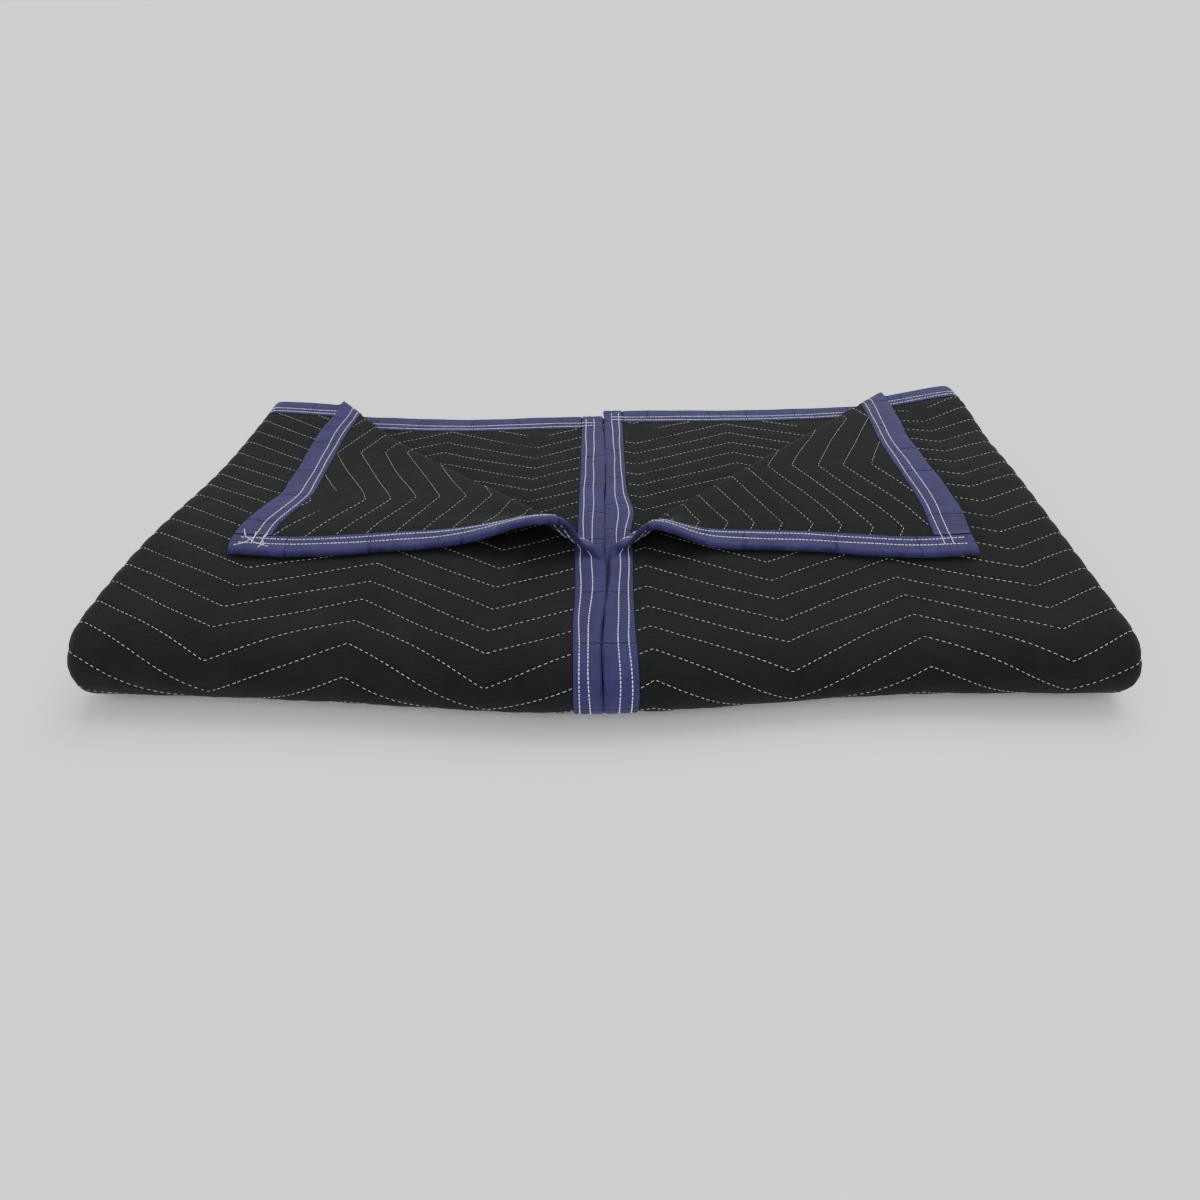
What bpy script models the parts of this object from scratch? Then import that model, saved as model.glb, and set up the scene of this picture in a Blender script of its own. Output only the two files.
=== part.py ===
"""Quilted moving blanket, doubled, gate-folded and folded once more, with two corners turned back.

The cloth is cut flat, 1829 by 2032 mm, and its edges are bound with four lengths of tape. The whole
thing is drawn flat first, as triangles whose edges follow the quilting rows and every fold. Each point
of that flat drawing (across, along, up from the middle of the cloth) is then carried through the same
folds as the real blanket: in half, both sides to the middle, a corner of each side turned back, in
half again with the bound edges outside, and settled under its own weight.
Frame: +X to the right, -Y to the front fold, +Z up, resting on z = 0. Sizes are in metres.
"""

import math

import bmesh
import bpy
import numpy as np
from mathutils import Vector, geometry

# The cut cloth: across runs from -HALF to HALF, along from 0 at one end to LENGTH at the other
WIDTH = 1.829
LENGTH = 2.032
HALF = WIDTH / 2

# The quilt: zigzag rows sewn through the padding. A corner is a place, from the side edge, where the
# rows come furthest from the near end, on the half that ends on top and on the half under it. The rows
# also slant a little on each side
ROW_PITCH = 0.0282
ROW_OFFSET = 0.0070
ZIGZAG_PERIOD = 0.2336
ZIGZAG_SWING = 0.0271
ZIGZAG_CORNER = {-1: 0.0968, 1: 0.1543}
ZIGZAG_CORNER_UNDER = {-1: 0.206, 1: 0.155}
ROW_SLANT = {-1: -0.0374, 1: 0.0057}
ROW_SHIFT = {-1: 0.0, 1: -0.0037}
SLANT_FROM = 0.20
SLANT_MOST = 0.011
HALF_PUFFED = 0.0038
HALF_SEWN = 0.0028
HALF_PRESSED = 0.0034

# The binding tape, folded round every edge, and the cloth pressed flat inside it
SIDE_TAPE = 0.024
END_TAPE = 0.033
TAPE_THICK = 0.0012
TAPE_GAP = 0.0003
TAPE_APART = 0.0015
HALF_EDGE = 0.0025
EDGE_SLOPE = 0.010

# The folds. One layer takes up LAYER of the height of the pack, and each fold turns about an axis
# in the middle of what it folds, so its arc on the outermost layer has the length given here. The
# front fold is FRONT_NOSE times as deep as it is high
LAYER = 0.0088
MIDDLE_GAP = 0.0021
GATE_ARC = math.pi * 1.5 * LAYER
GATE_START = (HALF + MIDDLE_GAP - GATE_ARC) / 2
FRONT_START = 0.475
FRONT_NOSE = 1.308
FRONT_ARC = math.pi * 3.5 * LAYER * math.sqrt((1 + FRONT_NOSE**2) / 2)
DOUBLING_ARC = math.pi * LAYER / 2
UNDER_END_DRAWN_IN = 0.012
UNDER_END_SKEW = -0.0045

# The corners turned back. The crease lies CORNER_REACH / 2 from the corner, square to CORNER_ANGLE
CORNER_REACH = 0.5031
CORNER_ANGLE = math.radians(45.33)
CORNER_RADIUS = 0.0060
CORNER_REST = 0.0098
CORNER_SETTLE = 0.11
CORNER_SPREAD = 0.0021
CORNER_SPREAD_OVER = 0.030
CORNER_DRAWN = -0.0121
CORNER_DRAWN_OVER = 0.16
CORNER_SWING = 0.0346
CORNER_SWING_OVER = 0.20
LIP_RISE = {-1: 0.0342, 1: 0.0267}
LIP_AT = {-1: 0.066, 1: 0.048}
LIP_WIDE = {-1: 0.055, 1: 0.040}
LIP_DEEP = 0.058
LIP_START = 0.015

# How the turned corners' outer sides bend: a nick and a belly on the left, a belly on the right, each
# as (how far out, its distance from the back, its width)
SIDE_BENDS = {-1: ((-0.0140, 0.205, 0.030), (0.0053, 0.285, 0.032)), 1: ((0.0032, 0.235, 0.060),)}
BEND_OVER = 0.16
BEND_OUT = 0.25

# How the pack has settled. Its height is SETTLED of what the folds give, more or less by SWELL about
# each place in SWELL_X and SWELL_Y, and the right back corner lifts. The front bows out by FRONT_BOW
# about each place in SWELL_X
PACK_HALF_WIDTH = 0.45
SETTLED = 0.938
SWELL_X = (-0.46, -0.23, 0.0, 0.23, 0.46)
SWELL_Y = (-0.06, 0.10, 0.28, 0.46)
SWELL_WIDE_X = 0.20
SWELL_WIDE_Y = 0.15
SWELL = (
    (0.037, -0.053, -0.025, -0.122, 0.007),
    (0.144, -0.035, -0.003, -0.123, 0.098),
    (-0.069, -0.180, -0.060, -0.067, 0.131),
    (0.026, -0.168, -0.060, -0.089, 0.058),
)
CORNER_LIFT = 0.15
FRONT_BOW = (0.0066, 0.0107, 0.0311, 0.0013, 0.0122)
FRONT_BOW_DEPTH = 0.25
BACK_LEAN = 0.0133
SIDE_BULGE = 0.0097
SIDE_BULGE_AT = 0.20
SIDE_BULGE_DEPTH = 0.25

# The middle of the finished pack's box, from the middle of the cloth and the front fold's axis
CENTRE_X = 0.0063
CENTRE_Y = 0.1990

# How finely the drawing follows the folds, and how far the raised rows go
GATE_STEPS = 4
FRONT_STEPS = 8
DOUBLING_STEPS = 4
CORNER_STEPS = 4
COARSE_ROW = 0.078
COARSE_ROWS = 5
CENTRE_COLUMNS = (0.0, 0.13, 0.23, 0.31, 0.39)
SIDE_COLUMN = 0.388
TAPE_COLUMNS = (0.35, HALF - 0.338)
WELD = 0.0012
CORNER_LENGTH = CORNER_REACH / math.sqrt(2)
ROWS_DRAWN_TO = FRONT_START + 0.75 * FRONT_ARC
ROWS_RAISED_TO = FRONT_START + 0.85 * FRONT_ARC
UNDER_SHOWN = HALF - CORNER_LENGTH - ROW_PITCH
FLOOR_DROP = LAYER / 2 - HALF_EDGE - TAPE_GAP - TAPE_THICK

CHARCOAL = (0.022, 0.024, 0.023)
VIOLET_BLUE = (0.052, 0.046, 0.19)


def smooth(share):
    """0 below 0, 1 above 1, and an even S between."""
    t = np.clip(share, 0.0, 1.0)
    return t * t * (3.0 - 2.0 * t)


def on_side(across, pair):
    """The left or the right value of a pair, by which side of the middle each place is."""
    return np.where(across < 0, pair[-1], pair[1])


def bell(distance, width):
    """1 at no distance, falling off as a bell of this half width."""
    return np.exp(-((distance / width) ** 2))


def swung(across, along):
    """How far a quilting row lies from its straight place: its zigzag, and its slant on each side."""
    from_side = HALF - np.abs(across)
    near, under = on_side(across, ZIGZAG_CORNER), on_side(across, ZIGZAG_CORNER_UNDER)
    turns = (from_side - np.where(along < LENGTH / 2, near, under)) / ZIGZAG_PERIOD
    zigzag = 1.0 - 4.0 * np.abs(turns - np.round(turns))
    slant = on_side(across, ROW_SLANT) * (from_side - SLANT_FROM) + on_side(across, ROW_SHIFT)
    return ZIGZAG_SWING * zigzag + slant


def raised(across, along):
    """Where the quilting rows are raised: the layers that show, not those inside or underneath."""
    out = np.abs(across)
    top = (along < ROWS_RAISED_TO) & (out > GATE_START)
    under = (HALF - out) + (LENGTH - along) < CORNER_LENGTH + ROW_PITCH
    return top | under


def half_thickness(across, along):
    """Half the cloth's thickness: puffed between rows, drawn in at a row, and pressed under the tape.

    The layers inside the pack are pressed too, by the weight on them.
    """
    row = (along - ROW_OFFSET - swung(across, along)) / ROW_PITCH
    puffed = HALF_SEWN + (HALF_PUFFED - HALF_SEWN) * 2.0 * np.abs(row - np.round(row))
    underneath = (along > ROWS_RAISED_TO) & (along < LENGTH / 2) & (np.abs(across) > GATE_START + GATE_ARC)
    quilt = np.where(raised(across, along), puffed, np.where(underneath, HALF_PUFFED, HALF_PRESSED))
    from_side = HALF - np.abs(across) - SIDE_TAPE - TAPE_GAP
    from_end = np.minimum(along, LENGTH - along) - END_TAPE - TAPE_GAP
    pressed = smooth(np.minimum(from_side, from_end) / EDGE_SLOPE)
    return HALF_EDGE + (quilt - HALF_EDGE) * pressed


def fold_in_half(across, along, up):
    """First fold: the far end comes over the near end. Returns (distance from the ends, height)."""
    crease = (LENGTH + UNDER_END_DRAWN_IN - DOUBLING_ARC) / 2 + UNDER_END_SKEW * across
    turn = np.clip((along - crease) / (LAYER / 2), 0.0, math.pi)
    radius = LAYER / 2 - up
    returned = 2.0 * crease + DOUBLING_ARC - along
    straight = np.where(turn <= 0, along, np.where(turn < math.pi, crease, returned))
    return straight + radius * np.sin(turn), LAYER - radius * np.cos(turn)


def fold_gates(across, height):
    """Second fold: both sides come over to the middle. Returns (distance from the middle, height)."""
    out = np.abs(across)
    turn = np.clip((out - GATE_START) / GATE_ARC, 0.0, 1.0) * math.pi
    radius = 2.0 * LAYER - height
    returned = 2.0 * GATE_START + GATE_ARC - out
    straight = np.where(turn <= 0, out, np.where(turn < math.pi, GATE_START, returned))
    return straight + radius * np.sin(turn), 2.0 * LAYER - radius * np.cos(turn)


def turn_corner_back(across, out, reach, height, outer_layer):
    """Third fold: the outer layer's corner rolls over a slanting crease and rests on the blanket.

    The two corners keep clear of each other at the crease. Near the middle the edge stands up as a soft
    lip, the tip is drawn towards the front, and the outer side bends in and out.
    """
    normal = np.array([math.cos(CORNER_ANGLE), math.sin(CORNER_ANGLE)])
    middle = 3.5 * LAYER
    beyond = (CORNER_REACH + math.pi * CORNER_RADIUS) / 2 - out * normal[0] - reach * normal[1]
    past = beyond - math.pi * CORNER_RADIUS
    turn = np.clip(beyond / CORNER_RADIUS, 0.0, math.pi)
    radius = CORNER_RADIUS + middle - height
    shift = beyond + np.maximum(past, 0.0) - radius * np.sin(turn)
    new_out = out + normal[0] * shift
    new_reach = reach + normal[1] * shift
    rolled = middle + CORNER_RADIUS - radius * np.cos(turn)
    settled = (2.0 * CORNER_RADIUS - CORNER_REST) * smooth(past / CORNER_SETTLE)
    from_lip = (new_out - on_side(across, LIP_AT)) / on_side(across, LIP_WIDE)
    from_front = CORNER_REACH / 2 / normal[1] - new_reach
    lip = np.exp(-(from_lip**2)) * smooth(1.0 - from_front / LIP_DEEP) * smooth(past / LIP_START)
    drawn = CORNER_DRAWN * smooth(past / CORNER_DRAWN_OVER)
    drawn += CORNER_SWING * smooth(new_out / CORNER_LENGTH) * smooth(past / CORNER_SWING_OVER)
    bent = on_side(across, {
        side: sum(far * bell(new_reach - at, wide) for far, at, wide in bends)
        for side, bends in SIDE_BENDS.items()
    }) * smooth(past / BEND_OVER) * smooth(new_out / BEND_OUT)
    spread = np.where(outer_layer, CORNER_SPREAD * bell(beyond, CORNER_SPREAD_OVER), 0.0)
    turned = outer_layer & (beyond > 0)
    new_height = rolled - settled + on_side(across, LIP_RISE) * lip
    return (
        np.where(turned, new_out + bent, out) + spread,
        np.where(turned, new_reach + drawn, reach),
        np.where(turned, new_height, height),
    )


def fold_front(reach, height):
    """Last fold: in half again, bound edges outside. Returns (y, z)."""
    share = np.clip((reach - FRONT_START) / FRONT_ARC, 0.0, 1.0)
    uneven = (FRONT_NOSE - 1.0) / (FRONT_NOSE + 1.0)
    turn = math.pi * share - uneven * np.sin(2.0 * math.pi * share) / 2.0
    under = reach - FRONT_START - FRONT_ARC
    straight = np.where(share <= 0, FRONT_START - reach, np.where(share < 1, 0.0, under))
    return straight - FRONT_NOSE * height * np.sin(turn), 4.0 * LAYER + height * np.cos(turn)


def settle(x, y, z):
    """The finished pack: lower where it has sunk, one back corner lifted, and its front bowed."""
    over_x = bell(x[..., None] - np.array(SWELL_X), SWELL_WIDE_X)
    over_y = bell(y[..., None] - np.array(SWELL_Y), SWELL_WIDE_Y)
    swell = np.einsum("...i,ij,...j->...", over_y, np.array(SWELL), over_x)
    lift = CORNER_LIFT * smooth((x - 0.345) / 0.105) * smooth((y - 0.32) / 0.13)
    z = (z - FLOOR_DROP) * SETTLED * (1.0 + swell + lift)
    share = (x / PACK_HALF_WIDTH) ** 2
    bow = (over_x @ np.array(FRONT_BOW)) * (1.0 - smooth(y / FRONT_BOW_DEPTH))
    lean = BACK_LEAN * share * smooth(y / FRONT_START)
    bulge = SIDE_BULGE * x * bell(y - SIDE_BULGE_AT, SIDE_BULGE_DEPTH)
    return np.stack([x + lean + bulge - CENTRE_X, y - bow - CENTRE_Y, z], axis=-1)


def folded(points):
    """Flat points (across, along, up) carried through every fold to where they lie."""
    across, along, up = np.asarray(points, float).T
    reach, height = fold_in_half(across, along, up)
    out, height = fold_gates(across, height)
    outer_layer = (np.abs(across) > GATE_START + GATE_ARC) & (along < LENGTH / 2)
    out, reach, height = turn_corner_back(across, out, reach, height, outer_layer)
    y, z = fold_front(reach, height)
    return settle(np.sign(across) * out, y, z)


def zigzag_line(row, side):
    """One row across one side of the cloth, from the tape to past the side fold, as flat points."""
    edge = SIDE_TAPE + TAPE_GAP + EDGE_SLOPE
    last = HALF - GATE_START + ROW_PITCH / 6
    first = ZIGZAG_CORNER[side] if row < LENGTH / 2 else ZIGZAG_CORNER_UNDER[side]
    corners = [first + n * ZIGZAG_PERIOD / 2 for n in range(-4, 5)]
    stops = [edge, *[corner for corner in corners if edge < corner < last], last]
    across = side * (HALF - np.array(stops))
    return list(zip(across, row + swung(across, row)))


def quilt_lines():
    """Each raised row's sewn line and the crest beside it, on the layers that show."""
    lines = []
    clear_of_tape = END_TAPE + EDGE_SLOPE + ZIGZAG_SWING + SLANT_MOST
    for side in (-1, 1):
        for n in range(int(2 * LENGTH / ROW_PITCH)):
            row = ROW_OFFSET + n * ROW_PITCH / 2
            if clear_of_tape < row < ROWS_DRAWN_TO:
                lines.append(zigzag_line(row, side))
            elif LENGTH - CORNER_LENGTH < row < LENGTH - clear_of_tape:
                lines.append([p for p in zigzag_line(row, side) if abs(p[0]) > UNDER_SHOWN])
    return lines


def column_lines():
    """Lines along the cloth: the side tapes' inner edges, the side folds and the zigzags' corners."""
    inner = HALF - SIDE_TAPE - TAPE_GAP
    columns = [inner, inner - TAPE_APART, inner - EDGE_SLOPE, *CENTRE_COLUMNS]
    columns += [GATE_START + GATE_ARC * n / GATE_STEPS for n in range(GATE_STEPS + 1)]
    places = {side * column for column in columns for side in (-1, 1)}
    for side, corner in ZIGZAG_CORNER.items():
        places |= {side * (HALF - place) for place in (corner, corner + ZIGZAG_PERIOD / 2, SIDE_COLUMN)}
    lines = [[(place, 0.0), (place, LENGTH)] for place in sorted(places)]
    for place in TAPE_COLUMNS:
        for low, high in ((0.0, END_TAPE), (LENGTH - END_TAPE, LENGTH)):
            lines += [[(side * place, low), (side * place, high)] for side in (-1, 1)]
    return lines


def across_line(near, far_side=False, reach_to=HALF, skewed=False):
    """A line right across the cloth, the same distance from the near end, or from the doubled far end."""
    if not far_side:
        return [(-reach_to, near), (reach_to, near)]
    lean = 2.0 * UNDER_END_SKEW if skewed else 0.0
    from_end = near - UNDER_END_DRAWN_IN if skewed else near
    return [(side * reach_to, LENGTH - from_end + lean * side * reach_to) for side in (-1, 1)]


def row_lines():
    """Lines across the cloth: the end tapes, the front fold in both layers, the doubling and a grid."""
    tape = END_TAPE + TAPE_GAP
    slope_end = HALF - SIDE_TAPE - TAPE_GAP - EDGE_SLOPE
    front = [FRONT_START + FRONT_ARC * n / FRONT_STEPS for n in range(FRONT_STEPS + 1)]
    back = [front[-1] + COARSE_ROW * n for n in range(1, COARSE_ROWS + 1)]
    lines = []
    for near in [tape, tape + EDGE_SLOPE, *back]:
        lines += [across_line(near), across_line(near, far_side=True)]
    for near in front:
        lines += [across_line(near), across_line(near, far_side=True, skewed=True)]
    for n in range(COARSE_ROWS):
        near = tape + COARSE_ROW * (n + 1)
        lines += [across_line(near, reach_to=GATE_START)]
        lines += [across_line(near, far_side=True, reach_to=UNDER_SHOWN)]
        for side in (-1, 1):
            lines += [[(side * HALF, at), (side * slope_end, at)] for at in (near, LENGTH - near)]
    crease = (LENGTH + UNDER_END_DRAWN_IN) / 2
    for n in range(DOUBLING_STEPS + 1):
        at = crease + DOUBLING_ARC * (n / DOUBLING_STEPS - 0.5)
        lines.append([(side * HALF, at + side * UNDER_END_SKEW * HALF) for side in (-1, 1)])
    return lines


def corner_lines():
    """The slanting lines along which the two corners roll back, from the near end to the side edge."""
    lines = []
    cosine, sine = math.cos(CORNER_ANGLE), math.sin(CORNER_ANGLE)
    for side in (-1, 1):
        for n in range(CORNER_STEPS + 1):
            at = CORNER_REACH / 2 + math.pi * CORNER_RADIUS * (0.5 - n / CORNER_STEPS)
            on_end = HALF + MIDDLE_GAP - at / cosine
            on_edge = (at - MIDDLE_GAP * cosine) / sine
            lines.append([(side * on_end, 0.0), (side * HALF, on_edge)])
    return lines


def flat_drawing():
    """The flat cloth as triangles whose edges follow every line. Returns (points, triangles)."""
    outline = [(-HALF, 0.0), (HALF, 0.0), (HALF, LENGTH), (-HALF, LENGTH), (-HALF, 0.0)]
    points, edges = [], []
    for line in [outline, *quilt_lines(), *column_lines(), *row_lines(), *corner_lines()]:
        first = len(points)
        points += [Vector((float(x), float(y))) for x, y in line]
        edges += [(first + i, first + i + 1) for i in range(len(line) - 1)]
    drawn = geometry.delaunay_2d_cdt(points, edges, [], 0, WELD)
    return np.array([tuple(point) for point in drawn[0]]), [tuple(face) for face in drawn[2]]


def rim(triangles):
    """The edges that only one triangle uses, each in that triangle's direction."""
    uses = {}
    for a, b, c in triangles:
        for edge in ((a, b), (b, c), (c, a)):
            uses.setdefault((min(edge), max(edge)), []).append(edge)
    return [found[0] for found in uses.values() if len(found) == 1]


def wall(edges, low, high):
    """Two triangles for each rim edge, between the same edge on two levels of the drawing."""
    faces = []
    for a, b in edges:
        faces += [(b + low, a + low, a + high), (b + low, a + high, b + high)]
    return faces


def fabric(name, colour, roughness):
    """A matt cloth material."""
    made = bpy.data.materials.new(name)
    made.use_nodes = True
    shader = made.node_tree.nodes["Principled BSDF"]
    shader.inputs["Base Color"].default_value = (*colour, 1.0)
    shader.inputs["Roughness"].default_value = roughness
    return made


def solid(name, points, faces, material):
    """One closed mesh object from flat points and faces, folded into place and facing out."""
    mesh = bpy.data.meshes.new(name)
    mesh.from_pydata(folded(points).tolist(), [], faces)
    sewn = bmesh.new()
    sewn.from_mesh(mesh)
    bmesh.ops.delete(sewn, geom=[v for v in sewn.verts if not v.link_faces], context="VERTS")
    bmesh.ops.recalc_face_normals(sewn, faces=sewn.faces)
    if sewn.calc_volume(signed=True) < 0:
        bmesh.ops.reverse_faces(sewn, faces=sewn.faces)
    sewn.to_mesh(mesh)
    sewn.free()
    mesh.materials.append(material)
    mesh.shade_smooth()
    mesh.set_sharp_from_angle(angle=math.radians(50))
    made = bpy.data.objects.new(name, mesh)
    bpy.context.scene.collection.objects.link(made)
    return made


def quilted_cloth(flat, triangles):
    """The padded cloth: both faces of the flat drawing, and the wall round its edge."""
    count = len(flat)
    half = half_thickness(flat[:, 0], flat[:, 1])
    points = np.concatenate([np.column_stack([flat, half]), np.column_stack([flat, -half])])
    faces = list(triangles)
    faces += [(c + count, b + count, a + count) for a, b, c in triangles]
    faces += wall(rim(triangles), 0, count)
    return solid("quilted_cloth", points, faces, fabric("charcoal_cloth", CHARCOAL, 0.92))


def past_the_edge(flat, at_edge, direction, by):
    """The drawing with a tape's rim points moved out past the cloth's edge.

    Where a corner rolls back they slide along the slanting crease, so that they keep to its bends.
    """
    moved = flat.copy()
    out, along = np.abs(flat[:, 0]), flat[:, 1]
    slanted = at_edge & (along < CORNER_LENGTH + LIP_DEEP) & (HALF - out < CORNER_LENGTH + LIP_DEEP)
    slanted &= HALF - out + along > 2 * EDGE_SLOPE
    moved[at_edge] += np.array(direction) * by
    if direction[0]:
        moved[slanted, 1] += by / math.tan(CORNER_ANGLE)
    elif direction[1] < 0:
        moved[slanted, 0] -= np.sign(flat[slanted, 0]) * by * math.tan(CORNER_ANGLE)
    return moved


def tape(name, flat, triangles, on_strip, at_edge, direction):
    """One length of binding: a U section round the cloth's edge, from the drawing's triangles on a strip.

    on_strip and at_edge say which points of the drawing lie on the strip and on the edge that the tape
    folds round, and direction points out past that edge.
    """
    kept = [triangle for triangle in triangles if all(on_strip[i] for i in triangle)]
    count = len(flat)
    inner, outer = HALF_EDGE + TAPE_GAP, HALF_EDGE + TAPE_GAP + TAPE_THICK
    near = past_the_edge(flat, at_edge, direction, TAPE_GAP)
    far = past_the_edge(flat, at_edge, direction, TAPE_GAP + TAPE_THICK)
    levels = [(far, outer), (near, inner), (near, -inner), (far, -outer)]
    points = np.concatenate([np.column_stack([at, np.full(count, up)]) for at, up in levels])
    faces = []
    for level in range(4):
        for triangle in kept:
            face = triangle if level % 2 == 0 else triangle[::-1]
            faces.append(tuple(i + level * count for i in face))
    edges = rim(kept)
    folded_rim = [(a, b) for a, b in edges if at_edge[a] and at_edge[b]]
    open_rim = [(a, b) for a, b in edges if not (at_edge[a] and at_edge[b])]
    faces += wall(folded_rim, 0, 3 * count)
    faces += [face[::-1] for face in wall(folded_rim, count, 2 * count)]
    faces += wall(open_rim, 0, count) + wall(open_rim, 2 * count, 3 * count)
    ends = {i for edge in folded_rim for i in edge} & {i for edge in open_rim for i in edge}
    faces += [tuple(end + level * count for level in range(4)) for end in sorted(ends)]
    return solid(name, points, faces, fabric(name + "_tape", VIOLET_BLUE, 0.75))


def side_tape(name, flat, triangles, side):
    """The tape down one long edge, which runs the whole length of the cloth."""
    from_edge = HALF - side * flat[:, 0]
    on_strip = from_edge < SIDE_TAPE + TAPE_GAP + WELD / 10
    return tape(name, flat, triangles, on_strip, from_edge < WELD / 10, (side, 0.0))


def end_tape(name, flat, triangles, far):
    """The tape along one short end, between the two side tapes."""
    from_end = LENGTH - flat[:, 1] if far else flat[:, 1]
    between = np.abs(flat[:, 0]) < HALF - SIDE_TAPE - TAPE_GAP - TAPE_APART + WELD / 10
    on_strip = (from_end < END_TAPE + TAPE_GAP + WELD / 10) & between
    return tape(name, flat, triangles, on_strip, from_end < WELD / 10, (0.0, 1.0 if far else -1.0))


def main():
    for old in list(bpy.data.objects):
        bpy.data.objects.remove(old, do_unlink=True)
    flat, triangles = flat_drawing()
    quilted_cloth(flat, triangles)
    side_tape("side_binding_left", flat, triangles, -1)
    side_tape("side_binding_right", flat, triangles, 1)
    end_tape("end_binding_top", flat, triangles, False)
    end_tape("end_binding_under", flat, triangles, True)


main()
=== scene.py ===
"""The looks of a quilted moving blanket, folded, with two corners turned back.

The blanket is drawn flat and carried through its folds. A place on it has three coordinates: across,
from -half to half of the cut width; along, from 0 at one bound end to the cut length at the other; and
up, from the middle of the padding. The face with up below zero is outermost once the blanket is folded,
and the other face shows on the two corners turned back and on the layer that they uncover.
Sizes are in metres, +Z is up, and the front fold faces -Y.
"""

import logging
import math
from dataclasses import dataclass, field
from enum import Enum

import bpy
import numpy as np
from mathutils import Matrix


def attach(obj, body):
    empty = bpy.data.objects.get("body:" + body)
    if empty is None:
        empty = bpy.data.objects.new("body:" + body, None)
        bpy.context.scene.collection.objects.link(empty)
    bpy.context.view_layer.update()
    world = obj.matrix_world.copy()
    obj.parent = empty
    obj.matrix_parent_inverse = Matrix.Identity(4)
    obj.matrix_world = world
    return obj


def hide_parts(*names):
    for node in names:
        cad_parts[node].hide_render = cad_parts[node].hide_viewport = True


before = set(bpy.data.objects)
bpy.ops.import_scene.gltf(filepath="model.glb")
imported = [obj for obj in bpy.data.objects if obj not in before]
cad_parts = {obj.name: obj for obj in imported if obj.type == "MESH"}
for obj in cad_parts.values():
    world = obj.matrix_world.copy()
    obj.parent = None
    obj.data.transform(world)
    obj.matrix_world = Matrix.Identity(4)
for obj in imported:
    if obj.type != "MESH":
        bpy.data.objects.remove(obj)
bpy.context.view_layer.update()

BODY = "root"
Array = np.ndarray
log = logging.getLogger("blanket")


class Face(Enum):
    """A face of the cloth, and the sign of up on it."""

    OUTER = -1
    INNER = 1


class Side(Enum):
    """A side of the middle line, and the sign of across on it."""

    LEFT = -1
    RIGHT = 1


class End(Enum):
    """A short end of the cloth: the one that lies on top of the pack, or the one under it."""

    TOP = 0
    UNDER = 1


def smooth(share: Array) -> Array:
    """0 below 0, 1 above 1, and an even S between."""
    t = np.clip(share, 0.0, 1.0)
    return t * t * (3.0 - 2.0 * t)


def rise(value: Array, start: float, over: float) -> Array:
    """0 up to the start, 1 past start + over, an even S between. It falls where over is below zero."""
    return smooth((value - start) / over)


def bell(distance: Array, width: float | Array) -> Array:
    """1 at no distance, falling off as a bell of this half width."""
    return np.exp(-((distance / width) ** 2))


def ripples(terms: tuple, x: Array, y: Array | float) -> Array:
    """A sum of sines. A term is its angle for each unit of x, and of y, its first angle, and its height."""
    return sum(high * np.sin(by_x * x + by_y * y + first) for by_x, by_y, first, high in terms)


@dataclass(frozen=True)
class Cut:
    """The blanket as it is cut and bound, before any fold."""

    width: float = 1.829
    length: float = 2.032
    side_tape: float = 0.024
    end_tape: float = 0.033
    tape_thick: float = 0.0012
    tape_gap: float = 0.0003
    tape_apart: float = 0.0015
    half_edge: float = 0.0025
    edge_slope: float = 0.010

    @property
    def half(self) -> float:
        """Half the cut width."""
        return self.width / 2

    @property
    def tape_outer(self) -> float:
        """From the middle of the cloth to the outside of the tape."""
        return self.half_edge + self.tape_gap + self.tape_thick


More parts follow.
